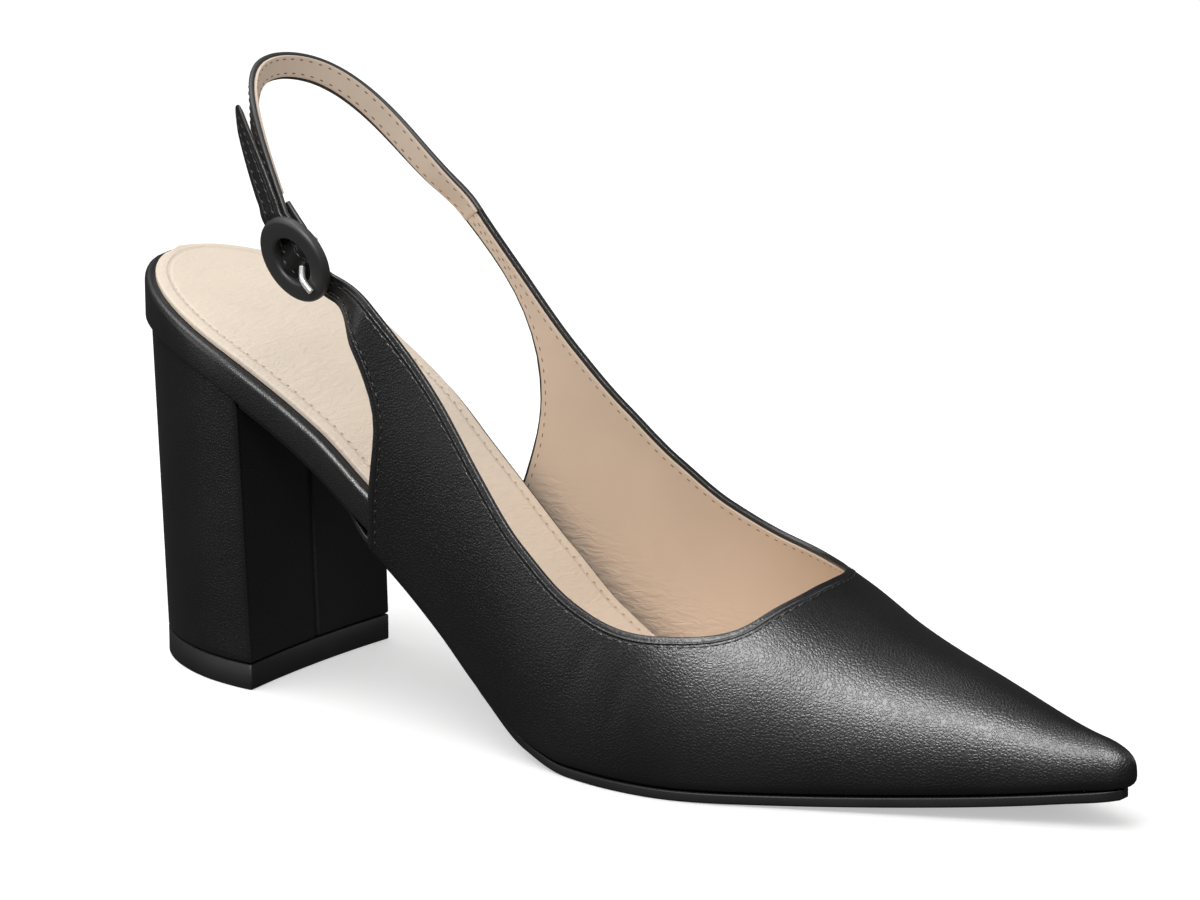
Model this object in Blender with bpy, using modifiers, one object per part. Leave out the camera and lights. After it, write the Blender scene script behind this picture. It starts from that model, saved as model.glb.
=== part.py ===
"""Slingback pump for the right foot: pointed toe, covered block heel, ring buckle on the outer side.

Metres. +X runs from the heel to the toe, +Y is the inner side of the foot, +Z is up.
Every form is worked out from the sizes and the short tables below.
"""
import bmesh
import bpy
import math
import numpy as np
from mathutils import Matrix, Vector

# driving sizes
LENGTH = 0.245            # heel back to toe tip
BALL_WIDTH = 0.068        # outline of the upper across the ball
SEAT_WIDTH = 0.058        # outline across the seat, with the wall that the quarters would add
HEEL_HEIGHT = 0.0745      # floor to the underside of the footbed at the back
TOE_SPRING = 0.0062       # lift of the outsole at the toe tip
INSTEP = 0.037            # size that the ridge's height is told in
STRAP_HEIGHT = 0.0545     # back of the sling strap above the back of the footbed
TIP_OFFSET = 0.0048       # toe tip towards the inner side
SEAT_OFFSET = 0.0035      # back of the seat towards the inner side
SEAT_BACK = -0.0004       # where the outline starts behind the footbed

# thicknesses
WALL = 0.0016             # upper with its lining
TOE_WALL = 0.0009         # upper where the toe tip closes
SOLE = 0.0021
SHANK_SOLE = 0.0014       # outsole where it is tucked under the shank
BOARD = 0.0064            # footbed in front of the seat
SOCK = 0.0010
TOP_PIECE = 0.0055
GAP = 0.0003

# edges
FEATHER_RADIUS = 0.0020   # turn of the upper under the footbed
MARGIN = 0.0080           # width of the turned-in edge
SOLE_INSET = 0.0008       # outsole inside the upper's outline
SHANK_INSET = 0.0040      # the same under the shank
SOCK_INSET = 0.0024       # bare rim of the footbed round the sock at the seat
BOARD_BEVEL = 0.0009
TOE_RADIUS = 0.0036
OUTER_SEAT_ROUND = 0.045
INNER_SEAT_ROUND = 0.024
FRONT_ROUND = 0.0060      # front ends of the footbed and the sock
FOOTBED_FRONT = 0.953     # share of the length
SOCK_FRONT = 0.947
SOLE_FRONT = 0.994
SOLE_BACK = 0.1774        # heel breast, where the outsole ends
SOLE_DROP = (0.288, 0.306)  # where it makes room for the turned-in edge
HUB_SEAT = 0.0300         # middle of the seat's round end
HUB_TOE = 0.0180          # the same at the toe, from the tip

# heel
HEEL_LENGTH = 0.0425      # where its breast is at the seat
HEEL_FOOT_LENGTH = 0.0395
HEEL_FOOT_WIDTH = 0.0490
HEEL_RAKE = 0.0025        # how far the heel's back stands forward at the floor
HEEL_INSET = 0.0012       # heel inside the footbed's outline
BREAST_HOLLOW = 0.0012
BREAST_SEAM = 0.0016      # width of the seam strip down the breast
BREAST_SEAM_DEPTH = 0.0005

# strap and buckle
STRAP_WIDTH = 0.0052
STRAP_THICK = 0.0018
TAB_WIDTH = 0.0065
TAB_THICK = 0.0012
FOLD_THICK = 0.0009       # sling strap where it is thinned round the bar
TAIL_LENGTH = 0.0228      # free end of the tab beyond the ring
TAIL_LIFT = 0.0012        # its tip off the sling strap
RING_RADIUS = 0.0095
RING_HOLE = 0.00515
RING_THICK = 0.0024
RING_EDGE = 0.0008
BAR_RADIUS = 0.00065
BAR_DROP = 0.0026         # bar's axis below the ring's middle plane
BAR_SPAN = 0.0144         # between the axes of the bar's legs
LEG_SEAT = 0.0008         # how deep the legs stand in the ring
PRONG_RADIUS = 0.00045
PRONG_REACH = 0.0076      # bar to the prong's tip
SLOT_ROOM = 0.00035       # free width each side of the prong in its slots

# the last, heel to toe: shares of LENGTH, HEEL_HEIGHT, TOE_SPRING and INSTEP, half widths as shares
# of a width that changes from SEAT_WIDTH to BALL_WIDTH, ridge and belly as shares of BALL_WIDTH
LAST_COLUMNS = "along rise spring ball outer inner crown ridge belly square"
LAST = np.array([
    (0.00, 1.000, 0.00, 0.00, 0.500, 0.500, 3.20, -0.020, 0.030, 2.2),
    (0.05, 0.984, 0.00, 0.00, 0.500, 0.500, 3.15, -0.020, 0.030, 2.2),
    (0.10, 0.950, 0.00, 0.00, 0.500, 0.498, 3.10, -0.020, 0.030, 2.2),
    (0.15, 0.887, 0.00, 0.00, 0.495, 0.490, 3.05, -0.020, 0.030, 2.2),
    (0.20, 0.797, 0.00, 0.00, 0.483, 0.472, 3.00, -0.020, 0.030, 2.2),
    (0.25, 0.688, 0.00, 0.05, 0.466, 0.444, 2.96, -0.020, 0.034, 2.2),
    (0.30, 0.549, 0.00, 0.15, 0.448, 0.412, 2.90, -0.020, 0.040, 2.2),
    (0.35, 0.412, 0.00, 0.28, 0.430, 0.375, 2.82, -0.020, 0.045, 2.2),
    (0.40, 0.271, 0.00, 0.43, 0.434, 0.354, 2.70, -0.025, 0.045, 2.2),
    (0.45, 0.131, 0.00, 0.60, 0.458, 0.364, 2.50, -0.030, 0.040, 2.2),
    (0.50, 0.035, 0.00, 0.80, 0.488, 0.390, 2.20, -0.036, 0.034, 2.2),
    (0.55, 0.000, 0.00, 0.92, 0.515, 0.425, 1.84, -0.040, 0.026, 2.2),
    (0.60, 0.000, 0.00, 1.00, 0.528, 0.462, 1.50, -0.040, 0.018, 2.2),
    (0.64, 0.000, 0.00, 1.00, 0.518, 0.482, 1.28, -0.036, 0.012, 2.2),
    (0.68, 0.000, 0.02, 1.00, 0.478, 0.482, 1.10, -0.028, 0.008, 2.1),
    (0.72, 0.000, 0.06, 1.00, 0.415, 0.458, 0.96, -0.015, 0.004, 2.1),
    (0.76, 0.000, 0.12, 1.00, 0.350, 0.418, 0.82, 0.000, 0.002, 2.0),
    (0.80, 0.000, 0.20, 1.00, 0.284, 0.370, 0.69, 0.016, 0.000, 2.0),
    (0.84, 0.000, 0.30, 1.00, 0.218, 0.320, 0.58, 0.030, 0.000, 2.0),
    (0.88, 0.000, 0.42, 1.00, 0.152, 0.268, 0.47, 0.042, 0.000, 2.0),
    (0.92, 0.000, 0.58, 1.00, 0.088, 0.216, 0.35, 0.052, 0.000, 2.0),
    (0.96, 0.000, 0.78, 1.00, 0.026, 0.162, 0.24, 0.062, 0.000, 2.0),
    (1.00, 0.000, 1.00, 1.00, -0.034, 0.104, 0.17, 0.070, 0.000, 2.0)])
# thickness of the footbed: place along the foot and share of BOARD
BOARD_CHANGE = np.array([
    (-0.01, 1.78), (0.04, 1.42), (0.08, 1.18), (0.13, 1.03), (0.20, 1.00), (0.34, 1.00), (0.58, 0.375), (1.0, 0.375)])

# topline, from the strap's end to the throat: place along the foot and turn from feather (0) to ridge (1)
OUTER_TOPLINE = np.array([
    (0.313, 0.302), (0.331, 0.301), (0.358, 0.302), (0.385, 0.303), (0.416, 0.300), (0.471, 0.290), (0.514, 0.294),
    (0.563, 0.302), (0.611, 0.335), (0.643, 0.390), (0.686, 0.518), (0.704, 0.660), (0.715, 0.820), (0.718, 1.000)])
INNER_TOPLINE = np.array([
    (0.288, 0.307), (0.306, 0.303), (0.331, 0.300), (0.388, 0.299), (0.451, 0.326), (0.514, 0.360),
    (0.578, 0.400), (0.630, 0.470), (0.670, 0.580), (0.700, 0.730), (0.714, 0.870), (0.718, 1.000)])
# rear edge of each quarter, from the strap's end down to the feather
OUTER_REAR = np.array([
    (0.293, 0.227), (0.308, 0.220), (0.321, 0.203), (0.332, 0.177), (0.334, 0.131), (0.327, 0.062), (0.322, 0.000)])
INNER_REAR = np.array([
    (0.271, 0.262), (0.297, 0.262), (0.325, 0.252), (0.343, 0.226), (0.352, 0.184), (0.353, 0.147), (0.345, 0.070),
    (0.330, 0.000)])
CORNER_SHARE = 0.26       # share of the topline that the rear edge's ribs reach

# sling strap round the back of the foot, from the inner quarter: shares of LENGTH, of SEAT_WIDTH and
# of STRAP_HEIGHT above the footbed's back
LOOP = np.array([
    (0.2450, 0.418, 0.549), (0.2080, 0.380, 0.705), (0.1730, 0.285, 0.878), (0.1525, 0.181, 0.963),
    (0.1410, 0.060, 1.000), (0.1415, -0.078, 1.000), (0.1560, -0.212, 0.955), (0.1790, -0.322, 0.855),
    (0.2040, -0.397, 0.716)])
LOOP_MIDDLE = 0.255       # share of LENGTH, from which the strap faces outwards
RING_AT = (0.2510, -0.4655, 0.401)
RING_ALONG = (-0.68, -0.115, 0.73)
RING_OUT = (-0.15, -0.945, -0.29)
# outer face of the tab through the ring: along in ring radii, how far it lies under the rim, how far
# over the fold, and across in ring radii
TAB_PATH = np.array([
    (1.00, 1.0, 0.0, 0.0), (0.78, 1.0, 0.0, 0.0), (0.58, 1.0, 0.0, 0.0), (0.42, 0.97, 0.0, 0.0),
    (0.27, 0.35, 0.1, 0.0), (0.13, 0.0, 0.70, 0.0), (0.00, 0.0, 1.0, 0.0), (-0.13, 0.0, 0.70, 0.0),
    (-0.27, 0.35, 0.1, 0.0), (-0.42, 0.97, 0.0, -0.01), (-0.58, 1.0, 0.0, -0.03), (-0.78, 1.0, 0.0, -0.07),
    (-0.96, 1.08, 0.0, -0.13), (-1.06, 1.2, 0.0, -0.17)])
FOLD_LEAVES = 35          # degrees round the bar where the sling strap reaches the fold
FOLD_BACK = 1.10          # ring radii that the folded end runs back
FOLD_SPREAD = 0.00025     # how fast it leaves the strap

COLLECTION = "slingback_pump"

REAR_RIBS = 6
SIDE_RIBS = 24
VAMP_RIBS = 14
COLUMNS = 9
STRAP_STEPS = 54


def clear_scene():
    for item in list(bpy.data.objects):
        bpy.data.objects.remove(item, do_unlink=True)


def smooth(xs, ys, x):
    """Natural cubic through the rows of a table."""
    xs, ys = np.asarray(xs, float), np.asarray(ys, float)
    count = len(xs)
    step = np.diff(xs)
    matrix = np.eye(count)
    right = np.zeros(count)
    for i in range(1, count - 1):
        matrix[i, i - 1:i + 2] = step[i - 1], 2 * (step[i - 1] + step[i]), step[i]
        right[i] = 6 * ((ys[i + 1] - ys[i]) / step[i] - (ys[i] - ys[i - 1]) / step[i - 1])
    bend = np.linalg.solve(matrix, right)
    x = np.asarray(x, float)
    k = np.clip(np.searchsorted(xs, x) - 1, 0, count - 2)
    after, before, h = xs[k + 1] - x, x - xs[k], step[k]
    return ((bend[k] * after ** 3 + bend[k + 1] * before ** 3) / (6 * h)
            + (ys[k] / h - bend[k] * h / 6) * after + (ys[k + 1] / h - bend[k + 1] * h / 6) * before)


def flowing(xs, ys, x):
    """Cubic that never overshoots its rows, so that a flat stretch stays flat."""
    xs, ys = np.asarray(xs, float), np.asarray(ys, float)
    step = np.diff(xs)
    slope = np.diff(ys) / step
    tangent = np.zeros(len(xs))
    for i in range(1, len(xs) - 1):
        if slope[i - 1] * slope[i] > 0:
            one, two = 2 * step[i] + step[i - 1], step[i] + 2 * step[i - 1]
            tangent[i] = (one + two) / (one / slope[i - 1] + two / slope[i])
    tangent[-1] = slope[-1]
    x = np.asarray(x, float)
    k = np.clip(np.searchsorted(xs, x) - 1, 0, len(xs) - 2)
    h = step[k]
    t = np.clip((x - xs[k]) / h, 0, 1)
    return ((2 * t ** 3 - 3 * t ** 2 + 1) * ys[k] + (t ** 3 - 2 * t ** 2 + t) * h * tangent[k]
            + (3 * t ** 2 - 2 * t ** 3) * ys[k + 1] + (t ** 3 - t ** 2) * h * tangent[k + 1])


def last(column, along):
    values = LAST[:, LAST_COLUMNS.split().index(column)]
    method = flowing if column in ("rise", "spring", "ball") else smooth
    return method(LAST[:, 0], values, along)


def unit(vector):
    vector = np.asarray(vector, float)
    return vector / np.linalg.norm(vector, axis=-1, keepdims=True)


STACK = SOLE + GAP + WALL + GAP


def bed(along):
    """Height of the footbed's underside."""
    return STACK + (HEEL_HEIGHT - STACK) * last("rise", along) + TOE_SPRING * last("spring", along)


def steepness(along):
    """What turns a thickness into a height where the sole slopes."""
    small = 0.002
    slope = (bed(along + small) - bed(along - small)) / (2 * small * LENGTH)
    return np.sqrt(1 + slope ** 2)


def level(along, below):
    """Height of a surface that lies a distance below the footbed's underside, or above it if negative."""
    inside = np.clip(along, 0.004, 0.996)
    return bed(along) - below * steepness(inside)


def arc(share):
    """Rises from 0 to 1 as a quarter circle does."""
    share = np.clip(share, 0, 1)
    return np.sqrt(1 - (1 - share) ** 2)


def outline(along, side):
    """Plan of the feather line: side is -1 outside, 1 inside."""
    x = along * LENGTH
    width = SEAT_WIDTH + (BALL_WIDTH - SEAT_WIDTH) * last("ball", along)
    reach = side * width * (last("outer", along) if side < 0 else last("inner", along))
    seat_round = OUTER_SEAT_ROUND if side < 0 else INNER_SEAT_ROUND
    reach = SEAT_OFFSET + (reach - SEAT_OFFSET) * arc((x - SEAT_BACK) / seat_round)
    return x, TIP_OFFSET + (reach - TIP_OFFSET) * arc((LENGTH - x) / TOE_RADIUS)


def plan(along, side, inset=0.0, front=1.0):
    """The outline moved inwards, ending at a share of the length."""
    x, y = outline(along, side)
    hub_x = np.clip(x, HUB_SEAT, LENGTH - HUB_TOE)
    hub_y = 0.5 * (outline(hub_x / LENGTH, -1)[1] + outline(hub_x / LENGTH, 1)[1])
    away = np.hypot(x - hub_x, y - hub_y)
    pull = np.minimum(inset / np.maximum(away, 1e-9), 0.75)
    x, y = x + (hub_x - x) * pull, y + (hub_y - y) * pull
    if front < 1.0:
        y = hub_y + (y - hub_y) * arc((front * LENGTH - x) / FRONT_ROUND)
    return x, y


def last_point(along, turn, side):
    """A point of the upper's outer face: turn 0 at the feather, 1 on the ridge."""
    along, turn = np.broadcast_arrays(np.asarray(along, float), np.asarray(turn, float))
    x, edge = plan(along, side)
    floor = level(along, GAP + WALL) + FEATHER_RADIUS
    tip = arc((LENGTH - x) / (2.2 * TOE_RADIUS))
    top = bed(along) + INSTEP * last("crown", along)
    top = floor + (top - floor) * (0.35 + 0.65 * tip)
    ridge = BALL_WIDTH * last("ridge", along)
    power = 2 / last("square", along)
    up = np.sin(turn * math.pi / 2) ** power
    out = np.cos(turn * math.pi / 2) ** power
    swell = BALL_WIDTH * last("belly", along) * 4 * up * (1 - up) * tip
    y = ridge + (edge - ridge) * out + side * swell
    return np.stack([x, y, floor + (top - floor) * up], axis=-1)


def spread(rows, shares, measure=None):
    """Rows of a smooth curve at even shares of its length, measured on the last if a side is given."""
    rows = np.asarray(rows, float)
    chord = np.concatenate([[0], np.cumsum(np.linalg.norm(np.diff(rows, axis=0), axis=1))])
    chord = chord / chord[-1]
    fine = np.linspace(0, 1, 400)
    dense = np.stack([smooth(chord, rows[:, c], fine) for c in range(rows.shape[1])], axis=-1)
    path = dense if measure is None else last_point(dense[:, 0], np.clip(dense[:, 1], 0, 1), measure)
    run = np.concatenate([[0], np.cumsum(np.linalg.norm(np.diff(path, axis=0), axis=1))])
    at = np.interp(np.asarray(shares, float) * run[-1], run, fine)
    return np.stack([smooth(chord, rows[:, c], at) for c in range(rows.shape[1])], axis=-1)


def ease_in(count):
    """Shares from 0 to 1 that crowd towards 1."""
    return np.sin(np.linspace(0, 1, count) * math.pi / 2)


# buckle frame

def ring_frame():
    """Ring's middle, and its directions along the strap, across it and outwards."""
    middle = np.array([RING_AT[0] * LENGTH, RING_AT[1] * SEAT_WIDTH, HEEL_HEIGHT + RING_AT[2] * STRAP_HEIGHT])
    run = unit(RING_ALONG)
    out = np.array(RING_OUT)
    out = unit(out - run * out.dot(run))
    return middle, run, np.cross(out, run), out


def in_ring(rows):
    """Points of the foot's frame from rows along the strap, out of the ring's plane and across."""
    middle, run, across, out = ring_frame()
    rows = np.asarray(rows, float)
    points = middle + rows[..., :1] * run + rows[..., 1:2] * out
    return points + rows[..., 2:3] * across if rows.shape[-1] > 2 else points


def joint():
    """Middle of the inner quarter's end, the way the strap leaves it and the way across it."""
    first, second = quarter_ribs(1)[1][:2]
    middle = first.mean(axis=0)
    return middle, unit(middle - second.mean(axis=0)), unit(first[-1] - first[0])


def sling_depth():
    """How far the sling strap's outer face lies behind the ring's middle plane."""
    return RING_THICK / 2 + GAP + TAB_THICK + GAP


def sling_face():
    """Outer face of the sling strap from the inner quarter to the ring, finely stepped, and the way it faces."""
    x = LOOP[:, 0] * LENGTH
    y = LOOP[:, 1] * SEAT_WIDTH
    z = HEEL_HEIGHT + LOOP[:, 2] * STRAP_HEIGHT
    lead = in_ring([(0.95 * RING_RADIUS, -sling_depth(), -0.03 * RING_RADIUS)])
    middle, leave, across = joint()
    start = middle + leave * np.array([[2 * GAP], [STRAP_WIDTH / 2]])
    points = spread(np.concatenate([start, np.stack([x, y, z], axis=-1), lead]), np.linspace(0, 1, 161))
    away = points - np.array([LOOP_MIDDLE * LENGTH, 0.0, 0.0])
    away[:, 0] = np.minimum(away[:, 0], 0)
    away[:, 2] = 0
    out = ring_frame()[3]
    left = np.linalg.norm(points[-1] - points, axis=1)
    close = np.clip(1 - (left - 0.4 * RING_RADIUS) / (3.2 * RING_RADIUS), 0, 1)[:, None]
    close = close * close * (3 - 2 * close)
    facing = unit(unit(away) * (1 - close) + out * close)
    tangent = unit(np.gradient(points, axis=0))
    near = np.clip(1 - np.linalg.norm(points - points[0], axis=1) / (3 * STRAP_WIDTH), 0, 1)[:, None]
    near = near * near * (3 - 2 * near)
    return points, unit(facing * (1 - near) + np.cross(tangent, across) * near)


def tab_face():
    """Outer face of the tab from its free tip through the ring, and the way it faces."""
    points, facing = sling_face()
    run_length = np.concatenate([[0], np.cumsum(np.linalg.norm(np.diff(points, axis=0), axis=1))])
    steps = np.linspace(1, 0, 12)
    at = run_length[-1] - 0.4 * RING_RADIUS - steps * TAIL_LENGTH
    tail = np.stack([np.interp(at, run_length, points[:, c]) for c in range(3)], axis=-1)
    tail_out = unit(np.stack([np.interp(at, run_length, facing[:, c]) for c in range(3)], axis=-1))
    tail = tail + tail_out * (2.2 * GAP + TAB_THICK + TAIL_LIFT * steps ** 2)[:, None]
    rim = RING_THICK / 2 + GAP
    over = -BAR_DROP + BAR_RADIUS + GAP + FOLD_THICK + GAP + TAB_THICK
    through = in_ring(np.stack([TAB_PATH[:, 0] * RING_RADIUS, -TAB_PATH[:, 1] * rim + TAB_PATH[:, 2] * over,
                                TAB_PATH[:, 3] * RING_RADIUS], axis=-1))
    out = ring_frame()[3]
    return np.concatenate([tail, through]), np.concatenate([tail_out, np.repeat(out[None, :], len(through), axis=0)])


# meshes

def collection(name):
    group = bpy.data.collections.get(name) or bpy.data.collections.new(name)
    if name not in bpy.context.scene.collection.children:
        bpy.context.scene.collection.children.link(group)
    return group


def material(name, colour, roughness, metallic=0.0):
    made = bpy.data.materials.new(name)
    made.use_nodes = True
    shader = made.node_tree.nodes["Principled BSDF"]
    shader.inputs["Base Color"].default_value = (*colour, 1.0)
    shader.inputs["Roughness"].default_value = roughness
    shader.inputs["Metallic"].default_value = metallic
    return made


def add(name, vertices, faces, finish=None, group=COLLECTION):
    mesh = bpy.data.meshes.new(name)
    mesh.from_pydata([tuple(v) for v in vertices], [], faces)
    mesh.validate()
    mesh.shade_smooth()
    piece = bpy.data.objects.new(name, mesh)
    collection(group).objects.link(piece)
    if finish is not None:
        mesh.materials.append(finish)
    return piece


def cut(piece, cutter):
    cutter.hide_render = True
    cutter.display_type = "WIRE"
    change = piece.modifiers.new("cut", "BOOLEAN")
    change.operation = "DIFFERENCE"
    change.solver = "EXACT"
    change.object = cutter


def round_edges(piece, width, segments=2):
    change = piece.modifiers.new("round", "BEVEL")
    change.width = width
    change.segments = segments
    change.limit_method = "ANGLE"
    change.angle_limit = math.radians(40)


def give_wall(piece, thickness, weights=None):
    change = piece.modifiers.new("wall", "SOLIDIFY")
    change.thickness = thickness
    change.offset = -1
    change.use_even_offset = True
    if weights is not None:
        share = piece.vertex_groups.new(name="wall_share")
        for index, weight in enumerate(weights):
            share.add([index], float(weight), "REPLACE")
        change.vertex_group = "wall_share"


def slab(name, alongs, top, bottom, top_inset, bottom_inset, front, finish):
    """A closed piece between two surfaces that follow the foot's outline."""
    vertices, faces = [], []
    count = len(alongs)

    def loop(inset, height):
        start = len(vertices)
        for side in (-1, 1):
            x, y = plan(alongs, side, inset, front)
            vertices.extend(zip(x, y, height(x / LENGTH)))
        return start

    low, high = loop(bottom_inset, bottom), loop(top_inset, top)
    for k in range(count - 1):
        for base, flip in ((low, True), (high, False)):
            quad = [base + k, base + k + 1, base + count + k + 1, base + count + k]
            faces.append(quad[::-1] if flip else quad)
        faces.append([low + k, low + k + 1, high + k + 1, high + k])
        far_low, far_high = low + count + k, high + count + k
        faces.append([far_low + 1, far_low, far_high, far_high + 1])
    for k in (0, count - 1):
        ring = [low + k, high + k, high + count + k, low + count + k]
        faces.append(ring if k == 0 else ring[::-1])
    piece = add(name, vertices, faces, finish)
    weld = piece.modifiers.new("weld", "WELD")
    weld.merge_threshold = 0.00002
    return piece


def stations(start, front, count):
    """Places along a slab, crowded towards its two round ends."""
    share = np.linspace(0, math.pi, count)
    even = np.linspace(0, 1, count)
    mixed = 0.45 * even + 0.55 * (1 - np.cos(share)) / 2
    return start + (front - start) * mixed


# sub-parts

def board(along):
    return BOARD * flowing(BOARD_CHANGE[:, 0], BOARD_CHANGE[:, 1], along)


def make_footbed(finish):
    alongs = stations(SEAT_BACK / LENGTH, FOOTBED_FRONT, 58)
    inset = WALL + 2 * GAP
    piece = slab("footbed", alongs,
                 lambda along: level(along, -board(along)), lambda along: level(along, 0.0),
                 inset, inset, FOOTBED_FRONT, finish)
    round_edges(piece, BOARD_BEVEL)
    return piece


def make_sock(finish):
    alongs = stations(SEAT_BACK / LENGTH, FOOTBED_FRONT, 58)
    inset = WALL + 2 * GAP + SOCK_INSET
    return slab("sock", alongs,
                lambda along: level(along, -board(along) - GAP - SOCK),
                lambda along: level(along, -board(along) - GAP),
                inset, inset, SOCK_FRONT, finish)


def from_shank(along, back, front):
    """A size that changes from the shank to the forefoot."""
    return back + (front - back) * flowing([0.0, 0.34, 0.58, 1.0], [0.0, 0.0, 1.0, 1.0], along)


def make_outsole(finish):
    alongs = SOLE_BACK + (SOLE_FRONT - SOLE_BACK) * np.sin(np.linspace(0, 1, 60) * math.pi / 2)
    alongs = np.sort(np.concatenate([alongs, SOLE_DROP, [np.mean(SOLE_DROP), 0.225, 0.26, 0.325, 0.36, 0.39]]))
    vertices, faces = [], []
    count = len(alongs)
    inset = from_shank(alongs, SHANK_INSET, SOLE_INSET)
    thick = from_shank(alongs, SHANK_SOLE, SOLE)
    top = flowing([0.0, *SOLE_DROP, 1.0], [GAP, GAP, STACK - SOLE, STACK - SOLE], alongs)
    for below in (top + thick, top):
        for side in (-1, 1):
            x, y = plan(alongs, side, inset, SOLE_FRONT)
            vertices.extend(zip(x, y, level(x / LENGTH, below)))
    low, high = 0, 2 * count
    for k in range(count - 1):
        faces.append([low + k, low + count + k, low + count + k + 1, low + k + 1])
        faces.append([high + k, high + k + 1, high + count + k + 1, high + count + k])
        faces.append([low + k, low + k + 1, high + k + 1, high + k])
        faces.append([low + count + k + 1, low + count + k, high + count + k, high + count + k + 1])
    faces.append([low, high, high + count, low + count])
    last_one = count - 1
    faces.append([low + last_one, low + count + last_one, high + count + last_one, high + last_one])
    piece = add("outsole", vertices, faces, finish)
    weld = piece.modifiers.new("weld", "WELD")
    weld.merge_threshold = 0.00002
    return piece


def heel_outline(share, count=17):
    """D-shaped loop of the heel: share 0 at the floor, 1 at the seat."""
    inset = WALL + 2 * GAP + HEEL_INSET
    back = SEAT_BACK + inset
    alongs = (SEAT_BACK + np.linspace(0, 1, count) ** 1.7 * (HEEL_LENGTH - SEAT_BACK)) / LENGTH
    narrow = HEEL_FOOT_WIDTH / (SEAT_WIDTH - 2 * inset)
    length = HEEL_FOOT_LENGTH + (HEEL_LENGTH - back - HEEL_FOOT_LENGTH) * share
    sides = []
    for side in (-1, 1):
        x, y = plan(alongs, side, inset)
        full = (x - x[0]) / (x[-1] - x[0])
        sides.append(np.stack([back + HEEL_RAKE * (1 - share) + full * length,
                               y * (narrow + (1 - narrow) * share)], axis=-1))
    outer, inner = sides
    breast = []
    for t in np.linspace(0, 1, 8)[1:-1]:
        x, y = outer[-1] * (1 - t) + inner[-1] * t
        breast.append((x - BREAST_HOLLOW * (1 - (2 * t - 1) ** 2), y))
    return np.array(list(outer) + breast + list(inner[:0:-1]))


def loft(name, loops, finish, group=COLLECTION):
    """Closed piece through loops of the same count, capped at both ends."""
    count = len(loops[0])
    vertices = [point for loop in loops for point in loop]
    faces = [list(range(count))[::-1]]
    for r in range(len(loops) - 1):
        for k in range(count):
            j = (k + 1) % count
            faces.append([r * count + k, r * count + j, (r + 1) * count + j, (r + 1) * count + k])
    faces.append([(len(loops) - 1) * count + k for k in range(count)])
    return add(name, vertices, faces, finish, group)


def upright(loop, height):
    return [(x, y, height) for x, y in loop]


def make_heel(finish):
    """Covered heel: a leaning D, cut to the underside of the footbed and the outsole."""
    bottom = TOP_PIECE + GAP
    tall = HEEL_HEIGHT * 1.02
    loops = []
    for share in (0.0, 0.25, 0.5, 0.75, 1.0):
        height = bottom + (tall - bottom) * share
        loops.append(upright(heel_outline(share), height))
    piece = loft("heel", loops, finish)
    cut(piece, seat_cutter())
    cut(piece, seam_cutter())
    return piece


def seat_cutter():
    """Space of the footbed above the heel, with its gap."""
    alongs = np.linspace(-0.03, 0.24, 28)
    half = SEAT_WIDTH * 0.7
    inside = np.clip(alongs, 0, 1)
    low = level(inside, GAP)
    vertices, faces = [], []
    for y in (-half, half):
        for k, along in enumerate(alongs):
            vertices.append((along * LENGTH, y, low[k]))
        for along in alongs:
            vertices.append((along * LENGTH, y, HEEL_HEIGHT * 1.3))
    count = len(alongs)
    other = 2 * count
    for k in range(count - 1):
        faces.append([k, k + 1, other + k + 1, other + k])
        faces.append([count + k, other + count + k, other + count + k + 1, count + k + 1])
        faces.append([k, count + k, count + k + 1, k + 1])
        faces.append([other + k, other + k + 1, other + count + k + 1, other + count + k])
    faces.append([0, other, other + count, count])
    end = count - 1
    faces.append([end, count + end, other + count + end, other + end])
    faces = [face[::-1] for face in faces]
    return add("seat_cutter", vertices, faces, None, "cutters")


def seam_cutter():
    """Narrow strip down the middle of the breast."""
    low = TOP_PIECE - GAP
    tall = HEEL_HEIGHT * 1.1
    loops = []
    for share, height in ((0.0, low), (1.0, tall)):
        breast = heel_outline(share)
        front = breast[:, 0].max() - BREAST_HOLLOW
        half = BREAST_SEAM / 2
        deep, free = front - BREAST_SEAM_DEPTH, front + 4 * BREAST_HOLLOW
        loops.append([(deep, half, height), (deep, -half, height), (free, -half, height), (free, half, height)])
    return loft("seam_cutter", loops, None, "cutters")


def make_top_piece(finish):
    loop = heel_outline(0.0)
    piece = loft("top_piece", [upright(loop, 0.0), upright(loop, TOP_PIECE)], finish)
    round_edges(piece, 0.0003, 1)
    return piece


def topline(side):
    return OUTER_TOPLINE if side < 0 else INNER_TOPLINE


def rear_edge(side):
    return OUTER_REAR if side < 0 else INNER_REAR


def quarter_ribs(side):
    """Ribs of one side from the strap's end to the toe tip: columns of points and their thickness shares."""
    rear = spread(rear_edge(side), np.linspace(0, 1, REAR_RIBS + 1), side)
    corner = rear[-1, 0]
    throat = topline(side)[-1, 0]
    top_rear = spread(topline(side), np.linspace(0, CORNER_SHARE, REAR_RIBS + 1), side)
    share = np.linspace(0, 1, SIDE_RIBS + 1)[1:]
    top_side = spread(topline(side), CORNER_SHARE + (1 - CORNER_SHARE) * share, side)
    low_side = np.stack([corner + (throat - corner) * share, 0 * share], axis=-1)
    front = ease_in(VAMP_RIBS + 1)[1:]
    low_front = np.stack([throat + (1 - throat) * front, 0 * front], axis=-1)
    top_front = np.stack([throat + (1 - throat) * front, 0 * front + 1], axis=-1)
    low = np.concatenate([rear, low_side, low_front])
    top = np.concatenate([top_rear, top_side, top_front])
    t = np.linspace(0, 1, COLUMNS + 1)[None, :, None]
    grid = low[:, None, :] * (1 - t) + top[:, None, :] * t
    return grid, last_point(grid[..., 0], grid[..., 1], side)


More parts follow.
